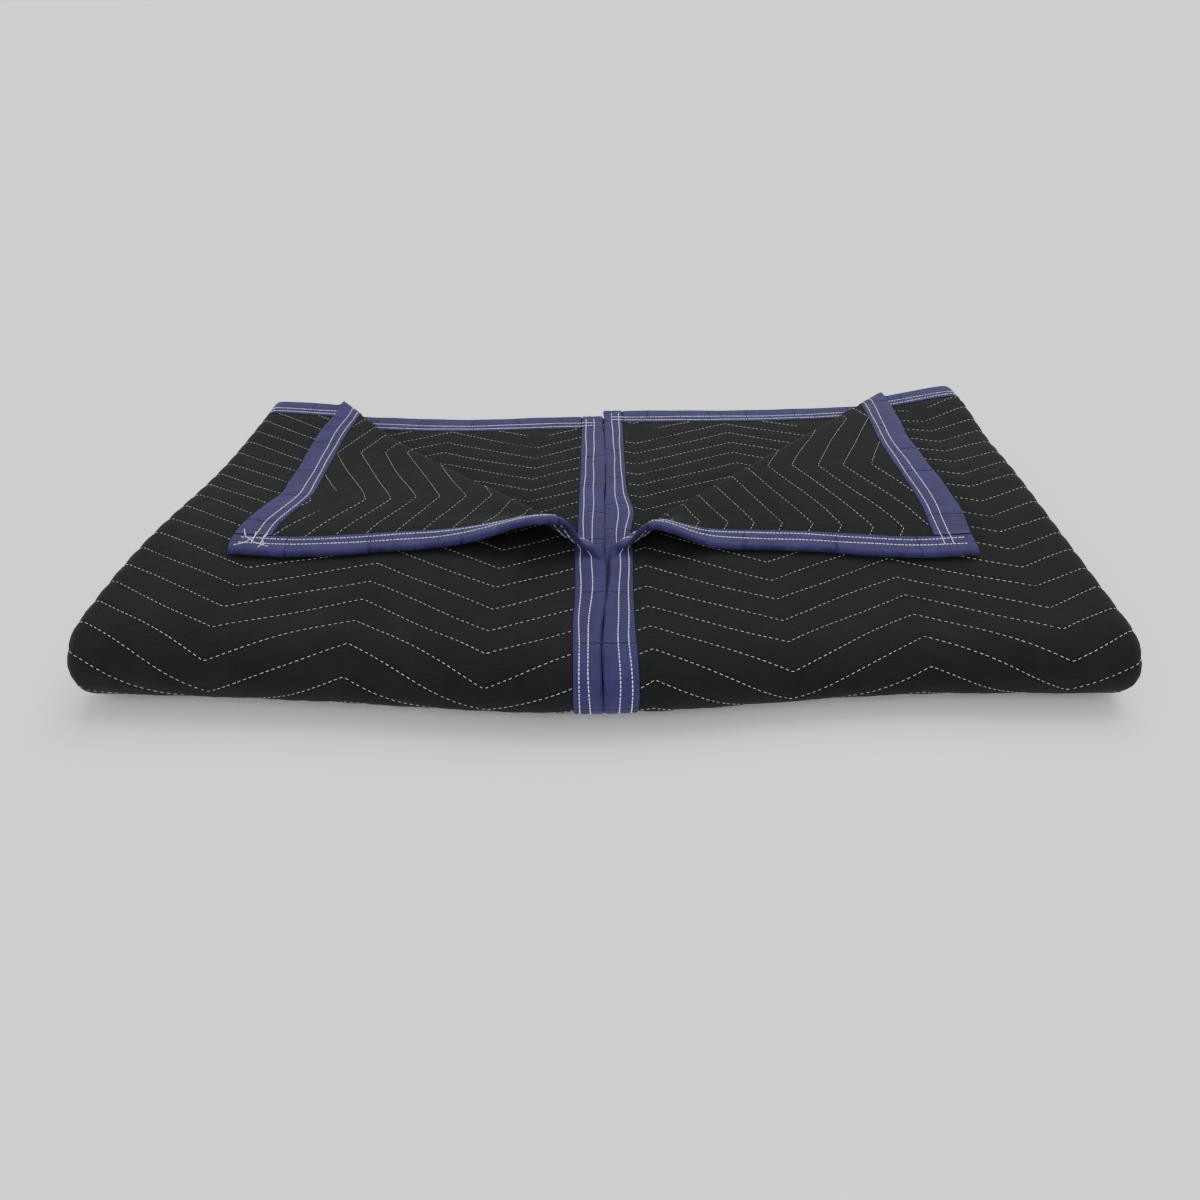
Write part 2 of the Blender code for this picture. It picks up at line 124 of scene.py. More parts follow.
@dataclass(frozen=True)
class Quilt:
    """The padding and the zigzag rows sewn through it.

    A row lies at row = along - swung, and rows are one pitch apart. corner gives, for the half that ends
    on top and then for the half under it, a place from the left and one from the right side edge where
    the rows come furthest from the near end. The pattern drifts from one to the other out of sight,
    over drift: where it starts, and the distance that it takes.
    """

    cut: Cut
    pitch: float = 0.0282
    offset: float = 0.0070
    period: float = 0.2336
    swing: float = 0.0271
    corner: tuple = ((0.0968, 0.1543), (0.196, 0.155))
    slant: tuple = (-0.0374, 0.0057)
    shift: tuple = (0.0, -0.0037)
    slant_from: float = 0.20
    slant_to: float = 0.50
    slant_blend: float = 0.6
    drift: tuple = (1.05, 0.60)
    far_shift: float = -0.0127
    sewn: float = 0.0028
    pressed: float = 0.0034
    puffed: float = 0.0040
    fullness: float = 0.62
    wander: float = 0.0010
    wander_terms: tuple = ((23.0, 31.0, 0.0, 1.0), (57.0, -83.0, 1.0, 0.7))

    def zigzag(self, across: Array, along: Array) -> Array:
        """A triangle wave of across, from -1 to 1, 1 at each corner place."""
        near, far = (np.where(across < 0, *places) for places in self.corner)
        drifted = (far - near) * rise(along, *self.drift)
        turns = (self.cut.half - np.abs(across) - near - drifted) / self.period
        return 1.0 - 4.0 * np.abs(turns - np.round(turns))

    def swung(self, across: Array, along: Array) -> Array:
        """How far a row lies from its straight place: the zigzag, a slant, and a slow wander by hand.

        The slant is a share of the distance from the side edge, one for each side, and the two blend
        in the middle of the cloth. The rows of the far half are shifted.
        """
        uneven = ripples(self.wander_terms, across, along)
        from_side = np.minimum(self.cut.half - np.abs(across), self.slant_to) - self.slant_from
        left, right = (slant * from_side + shift for slant, shift in zip(self.slant, self.shift))
        slanted = left + (right - left) * smooth(across / self.slant_blend + 0.5)
        far = self.far_shift * rise(along, *self.drift)
        return self.swing * self.zigzag(across, along) + slanted + far + self.wander * uneven

    def from_row(self, across: Array, along: Array) -> Array:
        """The distance to the nearest sewn row, at most half a pitch."""
        turns = (along - self.offset - self.swung(across, along)) / self.pitch
        return np.abs(turns - np.round(turns)) * self.pitch

    def half_thickness(self, across: Array, along: Array, shown: Array) -> Array:
        """Half the cloth: sewn down at a row, full between rows, and pressed flat under the tape.

        The fullness between two rows is sin(pi * share) raised to a power below 1, as padding swells.
        shown is 1 where the face shows and 0 inside the pack, where the weight on it presses it.
        """
        share = np.abs(np.sin(np.pi * self.from_row(across, along) / self.pitch)) ** self.fullness
        full = self.pressed + (self.puffed - self.pressed) * shown
        quilt = self.sewn + (full - self.sewn) * share
        from_side = self.cut.half - np.abs(across) - self.cut.side_tape - self.cut.tape_gap
        from_end = np.minimum(along, self.cut.length - along) - self.cut.end_tape - self.cut.tape_gap
        pressed = smooth(np.minimum(from_side, from_end) / self.cut.edge_slope)
        return self.cut.half_edge + (quilt - self.cut.half_edge) * pressed


@dataclass(frozen=True)
class Folding:
    """The folds that carry the flat blanket to where it lies, one method for each.

    The pairs of the lips and of the peak are for the left and for the right corner. corner_lift_x and
    corner_lift_y are each where the lift starts and the distance that it takes.
    """

    cut: Cut
    quilt: Quilt
    layer: float = 0.0088
    middle_gap: float = 0.0021
    front_start: float = 0.475
    front_nose: float = 1.308
    under_end_drawn_in: float = 0.012
    under_end_skew: float = -0.0045
    corner_reach: float = 0.5031
    corner_angle: float = math.radians(45.33)
    corner_radius: float = 0.0060
    corner_rest: float = 0.0098
    corner_settle: float = 0.11
    corner_spread: float = 0.0021
    corner_spread_over: float = 0.030
    corner_drawn: float = -0.0121
    corner_drawn_over: float = 0.16
    corner_swing: float = 0.0346
    corner_swing_over: float = 0.20
    lip_rise: tuple = (0.0342, 0.0267)
    lip_at: tuple = (0.052, 0.048)
    lip_wide: tuple = (0.069, 0.040)
    lip_wide_in: tuple = (0.062, 0.040)
    lip_deep: float = 0.058
    lip_start: float = 0.015
    left_bend_at: tuple = (0.10, 0.166, 0.205, 0.241, 0.271, 0.303, 0.332, 0.352, 0.375)
    left_bend: tuple = (0.0, -0.0030, -0.0052, -0.0084, -0.0029, 0.0033, 0.0034, 0.0010, -0.0070)
    right_bend_at: tuple = (0.06, 0.10, 0.124, 0.155, 0.185, 0.240, 0.282, 0.329, 0.365)
    right_bend: tuple = (0.0, -0.0060, -0.0095, -0.0060, -0.0026, 0.0016, 0.0035, 0.0005, -0.0010)
    bend_soft: float = 0.006
    bend_over: float = 0.16
    bend_out: float = 0.25
    pack_half_width: float = 0.45
    settled: float = 0.938
    swell_x: tuple = (-0.46, -0.23, 0.0, 0.23, 0.46)
    swell_y: tuple = (-0.06, 0.10, 0.28, 0.46)
    swell_wide: tuple = (0.20, 0.15)
    swell: tuple = (
        (0.037, -0.053, -0.025, -0.122, 0.007),
        (0.144, -0.035, -0.003, -0.123, 0.098),
        (-0.069, -0.180, -0.060, -0.067, 0.131),
        (0.026, -0.168, -0.060, -0.089, 0.058),
    )
    corner_lift: float = 0.20
    corner_lift_x: tuple = (0.345, 0.105)
    corner_lift_y: tuple = (0.32, 0.13)
    front_bow: tuple = (0.0066, 0.0107, 0.0311, 0.0013, 0.0122)
    front_bow_depth: float = 0.25
    back_lean: float = 0.0133
    side_bulge: float = 0.0097
    side_bulge_at: float = 0.20
    side_bulge_depth: float = 0.25
    wave: float = 0.003
    wave_terms: tuple = ((31.0, 9.0, 0.0, 1.0), (17.0, -26.0, 1.0, 1.0))
    thread_under: float = 0.0005
    peak_drawn: tuple = (-0.0100, 0.0)
    peak_over: float = 0.11
    peak_soft: float = 0.06
    edge_drift: tuple = ((0.0036, 0.375, 0.050), (-0.0026, 0.485, 0.055), (0.0030, 1.90, 0.13))
    edge_drift_past: float = 1.1
    tape_push: tuple = ((1, 0.0062, 1.765, 0.045), (1, 0.0020, 0.52, 0.05), (-1, -0.0012, 0.45, 0.04))
    tape_push_wide: float = 0.018
    centre_x: float = 0.0063
    centre_y: float = 0.1990

    @property
    def gate_arc(self) -> float:
        """The length that a side fold takes of the outermost layer."""
        return math.pi * 1.5 * self.layer

    @property
    def gate_start(self) -> float:
        """From the middle line to the start of a side fold."""
        return (self.cut.half + self.middle_gap - self.gate_arc) / 2

    @property
    def front_arc(self) -> float:
        """The length that the front fold takes of the outermost layer, about that of an ellipse."""
        return math.pi * 3.5 * self.layer * math.sqrt((1.0 + self.front_nose ** 2) / 2.0)

    @property
    def doubling_arc(self) -> float:
        """The length that the first fold takes of the middle of the cloth."""
        return math.pi * self.layer / 2

    @property
    def corner_length(self) -> float:
        """From a corner of the cloth to the crease that turns it back, along either edge."""
        return self.corner_reach / math.sqrt(2)

    def crease(self, across: Array) -> Array:
        """Where the first fold starts, for each place across."""
        middle = (self.cut.length + self.under_end_drawn_in - self.doubling_arc) / 2
        return middle + self.under_end_skew * across

    def fold_in_half(self, across: Array, along: Array, up: Array) -> tuple[Array, Array]:
        """First fold: a half turn about the crease. Returns the reach from the ends, and the height."""
        crease = self.crease(across)
        turn = np.clip((along - crease) / (self.layer / 2), 0.0, math.pi)
        radius = self.layer / 2 - up
        returned = 2.0 * crease + self.doubling_arc - along
        straight = np.where(turn <= 0, along, np.where(turn < math.pi, crease, returned))
        return straight + radius * np.sin(turn), self.layer - radius * np.cos(turn)

    def fold_gates(self, across: Array, height: Array) -> tuple[Array, Array]:
        """Second fold: both sides turn over to the middle. Returns out from the middle, and height."""
        out = np.abs(across)
        turn = np.clip((out - self.gate_start) / self.gate_arc, 0.0, 1.0) * math.pi
        radius = 2.0 * self.layer - height
        returned = 2.0 * self.gate_start + self.gate_arc - out
        straight = np.where(turn <= 0, out, np.where(turn < math.pi, self.gate_start, returned))
        return straight + radius * np.sin(turn), 2.0 * self.layer - radius * np.cos(turn)

    def beyond_crease(self, out: Array, reach: Array) -> Array:
        """How far a place on the top layer lies past the start of its corner's slanting roll."""
        start = (self.corner_reach + math.pi * self.corner_radius) / 2
        return start - out * math.cos(self.corner_angle) - reach * math.sin(self.corner_angle)

    def bends(self, reach: Array) -> list[Array]:
        """How far the outer side of the left and of the right turned corner bends out, by the reach."""
        knots = ((self.left_bend_at, self.left_bend), (self.right_bend_at, self.right_bend))
        moved = [reach + self.bend_soft * step for step in (-1.0, 0.0, 1.0)]
        return [sum(np.interp(place, at, far) for place in moved) / 3.0 for at, far in knots]

    def wandered(self, across: Array, along: Array) -> Array:
        """The edges that meet in the middle wander as one, and a tape's free edge steps aside.

        Both are bells along the edge. The first fades from the edge to the tape's free edge, and the
        second is strongest at the free edge.
        """
        inward = self.cut.half - np.abs(across)
        edge = np.clip(1.0 - inward / self.cut.side_tape, 0.0, self.edge_drift_past)
        drift = sum(far * bell(along - at, wide) for far, at, wide in self.edge_drift) * edge
        for side, far, at, wide in self.tape_push:
            near_free_edge = bell(inward - self.cut.side_tape, self.tape_push_wide)
            pushed = far * bell(along - at, wide) ** 2 * near_free_edge
            drift = drift + np.where(across * side > 0, pushed, 0.0)
        return across - drift

    def turn_corner_back(self, across: Array, out: Array, reach: Array, height: Array,
                         top_layer: Array) -> tuple[Array, Array, Array]:
        """Third fold: the top layer's corner rolls over a slanting crease and rests on the blanket.

        Past the half turn a place is mirrored in the crease. Near the middle the edge stands up as a
        soft lip, a bell of the distance from the lip's place, the tip is drawn to the front, the outer
        side bends in and out, and the two corners keep clear of each other at the crease.
        """
        normal_out, normal_reach = math.cos(self.corner_angle), math.sin(self.corner_angle)
        middle, radius_in = 3.5 * self.layer, self.corner_radius
        beyond = self.beyond_crease(out, reach)
        past = beyond - math.pi * radius_in
        turn = np.clip(beyond / radius_in, 0.0, math.pi)
        radius = radius_in + middle - height
        shift = beyond + np.maximum(past, 0.0) - radius * np.sin(turn)
        new_out = out + normal_out * shift
        new_reach = reach + normal_reach * shift
        rolled = middle + radius_in - radius * np.cos(turn)
        settled = (2.0 * radius_in - self.corner_rest) * smooth(past / self.corner_settle)
        left = across < 0
        lip_at = np.where(left, *self.lip_at)
        wide_out, wide_in = np.where(left, *self.lip_wide), np.where(left, *self.lip_wide_in)
        from_front = self.corner_reach / 2 / normal_reach - new_reach
        lip = bell(new_out - lip_at, np.where(new_out > lip_at, wide_out, wide_in))
        lip = lip * smooth(1.0 - from_front / self.lip_deep) * smooth(past / self.lip_start)
        drawn = self.corner_drawn * smooth(past / self.corner_drawn_over)
        swing = smooth(new_out / self.corner_length) * smooth(past / self.corner_swing_over)
        drawn = drawn + self.corner_swing * swing
        bent = np.where(left, *self.bends(new_reach)) * smooth(past / self.bend_over)
        bent = bent * smooth(new_out / self.bend_out)
        spread = self.corner_spread * bell(beyond, self.corner_spread_over)
        peak = np.where(left, *self.peak_drawn) * (1.0 - smooth(new_reach / self.peak_over))
        spread = np.where(top_layer, spread + peak * smooth(beyond / self.peak_soft + 0.5), 0.0)
        turned = top_layer & (beyond > 0)
        new_height = rolled - settled + np.where(left, *self.lip_rise) * lip
        return (
            np.where(turned, new_out + bent, out) + spread,
            np.where(turned, new_reach + drawn, reach),
            np.where(turned, new_height, height),
        )

    def fold_front(self, reach: Array, height: Array) -> tuple[Array, Array]:
        """Last fold: in half again, the bound edges outside. Returns y and z before settling.

        The fold is an ellipse, deeper than it is high, turned through at an even pace along its length.
        """
        share = np.clip((reach - self.front_start) / self.front_arc, 0.0, 1.0)
        uneven = (self.front_nose - 1.0) / (self.front_nose + 1.0)
        turn = math.pi * share - uneven * np.sin(2.0 * math.pi * share) / 2.0
        under = reach - self.front_start - self.front_arc
        straight = np.where(share <= 0, self.front_start - reach, np.where(share < 1, 0.0, under))
        return straight - self.front_nose * height * np.sin(turn), 4.0 * self.layer + height * np.cos(turn)

    def settle(self, x: Array, y: Array, z: Array) -> Array:
        """The pack settles: lower where it has sunk, one back corner lifted, and its front bowed.

        Each number of swell is a share of the height, for the bells about one of swell_x and one of
        swell_y. Each of front_bow is a distance, for the bell about one of swell_x.
        """
        floor_drop = self.layer / 2 - self.cut.tape_outer - self.thread_under
        over_x = bell(x[..., None] - np.array(self.swell_x), self.swell_wide[0])
        over_y = bell(y[..., None] - np.array(self.swell_y), self.swell_wide[1])
        swell = np.einsum("...i,ij,...j->...", over_y, np.array(self.swell), over_x)
        swell = swell + self.corner_lift * rise(x, *self.corner_lift_x) * rise(y, *self.corner_lift_y)
        swell = swell + self.wave * ripples(self.wave_terms, x, y)
        z = (z - floor_drop) * self.settled * (1.0 + swell)
        share = (x / self.pack_half_width) ** 2
        bow = (over_x @ np.array(self.front_bow)) * (1.0 - smooth(y / self.front_bow_depth))
        lean = self.back_lean * share * smooth(y / self.front_start)
        bulge = self.side_bulge * x * bell(y - self.side_bulge_at, self.side_bulge_depth)
        return np.stack([x + lean + bulge - self.centre_x, y - bow - self.centre_y, z], axis=-1)

    def place(self, across: Array, along: Array, up: Array) -> Array:
        """Flat places carried through every fold.

        Args:
            across, along, up: arrays of the same shape.

        Returns:
            Where they lie, with x, y and z on one more axis.
        """
        across, along, up = (np.asarray(part, float) for part in np.broadcast_arrays(across, along, up))
        across = self.wandered(across, along)
        reach, height = self.fold_in_half(across, along, up)
        out, height = self.fold_gates(across, height)
        top_layer = (np.abs(across) > self.gate_start + self.gate_arc) & (along < self.cut.length / 2)
        out, reach, height = self.turn_corner_back(across, out, reach, height, top_layer)
        y, z = self.fold_front(reach, height)
        return self.settle(np.sign(across) * out, y, z)


def strip_faces(grid: Array) -> Array:
    """Four-cornered faces between neighbours in a grid of point numbers, rows by columns."""
    return np.stack([grid[:-1, :-1], grid[:-1, 1:], grid[1:, 1:], grid[1:, :-1]], axis=-1).reshape(-1, 4)


def make_piece(name: str, points: Array, faces: list[Array], material: bpy.types.Material,
               values: dict[str, Array] | None = None, flat: Array | None = None) -> bpy.types.Object:
    """One smooth mesh object at the origin, riding on the blanket.

    Args:
        name: the piece's name.
        points: one row for each point.
        faces: arrays of point numbers, each with its own count of corners.
        material: its finish.
        values: named numbers for each point, which the finish reads.
        flat: a place on the flat cloth for each point, which becomes the UV map, in metres.

    Returns:
        The object.
    """
    mesh = bpy.data.meshes.new(name)
    corners = np.concatenate([part.reshape(-1) for part in faces]).astype(np.int32)
    counts = np.concatenate([np.full(len(part), part.shape[1]) for part in faces]).astype(np.int32)
    starts = (np.cumsum(counts) - counts).astype(np.int32)
    mesh.vertices.add(len(points))
    mesh.vertices.foreach_set("co", points.astype(np.float32).reshape(-1))
    mesh.loops.add(len(corners))
    mesh.loops.foreach_set("vertex_index", corners)
    mesh.polygons.add(len(counts))
    mesh.polygons.foreach_set("loop_start", starts)
    mesh.update(calc_edges=True)
    mesh.validate()
    if flat is not None:
        mesh.uv_layers.new(name="Flat").data.foreach_set("uv", flat[corners].astype(np.float32).reshape(-1))
    for label, numbers in (values or {}).items():
        mesh.attributes.new(label, "FLOAT", "POINT").data.foreach_set("value", numbers.astype(np.float32))
    mesh.shade_smooth()
    mesh.materials.append(material)
    made = bpy.data.objects.new(name, mesh)
    bpy.context.scene.collection.objects.link(made)
    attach(made, BODY)
    log.info("%s: %d points, %d faces", name, len(points), len(counts))
    return made


def outward(points: Array, faces: list[Array]) -> list[Array]:
    """The faces of a closed mesh, all turned over where they enclose a volume below zero."""
    volume = 0.0
    for part in faces:
        for n in range(1, part.shape[1] - 1):
            a, b, c = (points[part[:, corner]] for corner in (0, n, n + 1))
            volume += float((a * np.cross(b, c)).sum())
    return [part[:, ::-1] for part in faces] if volume < 0 else faces


def used_points(faces: list[Array]) -> Array:
    """The numbers of the points that some face uses, in order."""
    return np.unique(np.concatenate([part.reshape(-1) for part in faces]))


@dataclass
class QuiltedCloth:
    """The padded cloth: one closed sheet, finer where it shows.

    Its points lie on lines across, which follow the zigzag rows, and on columns along. Both faces
    share the lines. Each face keeps every column where it shows, and every fourth one elsewhere.
    follow_near, follow_far and slant_near are each a start and the distance that a change takes.
    """

    folding: Folding
    panel_step: float = 0.0052
    gate_steps: int = 13
    middle_steps: int = 22
    thinned_to: int = 4
    fine_offsets: tuple = (0.0, 0.0014, 0.0042, 0.0088, 0.0139, -0.0088, -0.0042, -0.0014)
    plain_offsets: tuple = (0.0, 0.0017, 0.0062, 0.0139, -0.0062, -0.0017)
    under_offsets: tuple = (0.0, 0.0050, 0.0139, -0.0050)
    back_offsets: tuple = (0.0, 0.0022, 0.0100, -0.0100, -0.0022)
    fine_to: float = 0.40
    plain_to: float = 0.60
    under_to: float = 1.00
    hidden_step: float = 0.045
    turned_to: float = 0.375
    crease_steps: int = 6
    ramp: float = 0.056
    end_clear: float = 0.003
    back_more: float = 0.01
    hidden_clear: tuple = (0.008, 0.012)
    stop_clear: tuple = (0.01, 0.012)
    follow_near: tuple = (0.98, -0.16)
    follow_far: tuple = (1.30, 0.25)
    slant_near: tuple = (0.10, -0.08)
    back_from: float = 1.6
    shown_over: float = 0.05
    turned_over: float = 0.02

    def columns(self) -> tuple[Array, Array]:
        """The places across, and which of them a thinned face keeps."""
        fold = self.folding
        half, roll_end = fold.cut.half, fold.gate_start + fold.gate_arc
        middle = np.linspace(-fold.gate_start, fold.gate_start, self.middle_steps + 1)
        found = [(place, True) for place in middle]
        for side in Side:
            found += [(side.value * (fold.gate_start + fold.gate_arc * n / self.gate_steps), True)
                      for n in range(1, self.gate_steps + 1)]
            corner, leg = fold.quilt.corner[0][side is Side.RIGHT], fold.quilt.period / 2
            stops = [half - corner - n * leg for n in range(-1, 4)]
            first, last = roll_end + self.stop_clear[0], half - fold.cut.side_tape - self.stop_clear[1]
            stops = [stop for stop in stops if first < stop < last]
            inner = half - fold.cut.side_tape - fold.cut.tape_gap
            stops = sorted([roll_end, *stops, inner - fold.cut.edge_slope, inner, half])
            for low, high in zip(stops, stops[1:]):
                steps = max(1, round((high - low) / self.panel_step))
                for n in range(1, steps + 1):
                    keep = n % self.thinned_to == 0 or n == steps
                    found.append((side.value * (low + (high - low) * n / steps), keep))
        found = sorted(set(found))
        return np.array([place for place, _ in found]), np.array([keeps for _, keeps in found])

    def lines(self) -> tuple[Array, Array]:
        """The lines' row coordinates, and how far each one follows the zigzag, from 0 to 1."""
        fold, quilt = self.folding, self.folding.quilt
        length = fold.cut.length
        bands = [
            (self.fine_offsets, 0.0, self.fine_to),
            (self.plain_offsets, self.fine_to, self.plain_to),
            (self.under_offsets, self.plain_to, self.under_to),
            (self.back_offsets, length - self.turned_to - self.back_more, length),
        ]
        rows = [0.0, length]
        for offsets, low, high in bands:
            numbers = range(int(low / quilt.pitch) - 1, int(high / quilt.pitch) + 2)
            rows += [row for n in numbers for offset in offsets
                     if low <= (row := quilt.offset + n * quilt.pitch + offset) < high]
        clear = self.end_clear
        rows = [row for row in rows if row in (0.0, length) or clear < row < length - clear]
        crease = float(fold.crease(np.zeros(1))[0])
        rows += [crease + fold.doubling_arc * n / self.crease_steps for n in range(self.crease_steps + 1)]
        start = crease + fold.doubling_arc + self.hidden_clear[0]
        stop = length - self.turned_to - self.hidden_clear[1]
        rows += list(np.linspace(start, stop, round((stop - start) / self.hidden_step)))
        rows = np.array(sorted(rows))
        near = np.clip(rows / self.ramp, 0.0, 1.0) * rise(rows, *self.follow_near)
        far = rise(rows, *self.follow_far) * np.clip((length - rows) / self.ramp, 0.0, 1.0)
        return rows, near + far

    def build(self, material: bpy.types.Material) -> bpy.types.Object:
        """Both faces and the wall round the edge.

        A line's points lie at along = row + follow * swung(across, row), and near the first fold they
        slant with it.

        Args:
            material: the cloth's finish.

        Returns:
            The cloth, which stands for the CAD cloth.
        """
        fold, quilt = self.folding, self.folding.quilt
        columns, keeps = self.columns()
        rows, follow = self.lines()
        across, row = np.meshgrid(columns, rows)
        from_crease = np.abs(row - fold.crease(np.zeros(1)) - fold.doubling_arc / 2)
        slant = fold.under_end_skew * across * rise(from_crease, *self.slant_near)
        along = row + follow[:, None] * quilt.swung(across, row) + slant
        along = np.clip(along, 0.0, fold.cut.length)
        numbers = np.arange(across.size).reshape(across.shape)
        back = rise(along, self.back_from, self.shown_over)
        shown = {
            Face.OUTER: rise(along, self.under_to, -self.shown_over),
            Face.INNER: np.maximum(back, rise(along, self.turned_to, -self.turned_over)),
        }
        fine = {
            Face.OUTER: rows < self.plain_to,
            Face.INNER: (rows < self.turned_to) | (rows > fold.cut.length - self.turned_to),
        }
        points, faces = [], []
        for face in Face:
            up = face.value * quilt.half_thickness(across, along, shown[face])
            points.append(fold.place(across, along, up).reshape(-1, 3))
            faces += self.face_strips(numbers, keeps, fine[face], face)
        rim = np.concatenate([numbers[0, :-1], numbers[:-1, -1], numbers[-1, :0:-1], numbers[:0:-1, 0]])
        rim = rim[np.isin(rim, used_points(faces))]
        ahead = np.roll(rim, -1)
        faces.append(np.stack([rim, rim + across.size, ahead + across.size, ahead], axis=-1))
        used = used_points(faces)
        flat = np.stack([across, along], axis=-1).reshape(-1, 2)
        seam = quilt.from_row(across, along).reshape(-1)
        points, flat, seam = (np.concatenate(part)[used] for part in (points, [flat] * 2, [seam] * 2))
        faces = outward(points, [np.searchsorted(used, part) for part in faces])
        made = make_piece("blanket_cloth", points, faces, material, {"from_row": seam}, flat)
        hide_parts("quilted_cloth")
        return made

    def face_strips(self, numbers: Array, keeps: Array, fine: Array, face: Face) -> list[Array]:
        """One face of the sheet, as arrays of faces with four or more corners.

        Between two fine lines every column is joined, between two others only the kept ones, and
        between a fine line and another each face has the kept pair on one side and all on the other.
        """
        kept = np.flatnonzero(keeps)
        shift = 0 if face is Face.OUTER else numbers.size
        both_fine = fine[:-1] & fine[1:]
        both_thin = ~fine[:-1] & ~fine[1:]
        found = []
        for mask, columns in ((both_fine, np.arange(len(keeps))), (both_thin, kept)):
            at = np.flatnonzero(mask)
            a, b = numbers[at][:, columns], numbers[at + 1][:, columns]
            found.append(np.stack([a[:, :-1], a[:, 1:], b[:, 1:], b[:, :-1]], axis=-1).reshape(-1, 4))
        for at in np.flatnonzero(fine[:-1] != fine[1:]):
            dense, thin = (at, at + 1) if fine[at] else (at + 1, at)
            for low, high in zip(kept, kept[1:]):
                ring = [*numbers[dense, low:high + 1], numbers[thin, high], numbers[thin, low]]
                found.append(np.array([ring if dense == at else ring[::-1]]))
        joined = {}
        for part in found:
            joined.setdefault(part.shape[1], []).append(part)
        made = [np.concatenate(parts) + shift for parts in joined.values()]
        return made if face is Face.OUTER else [part[:, ::-1] for part in made]


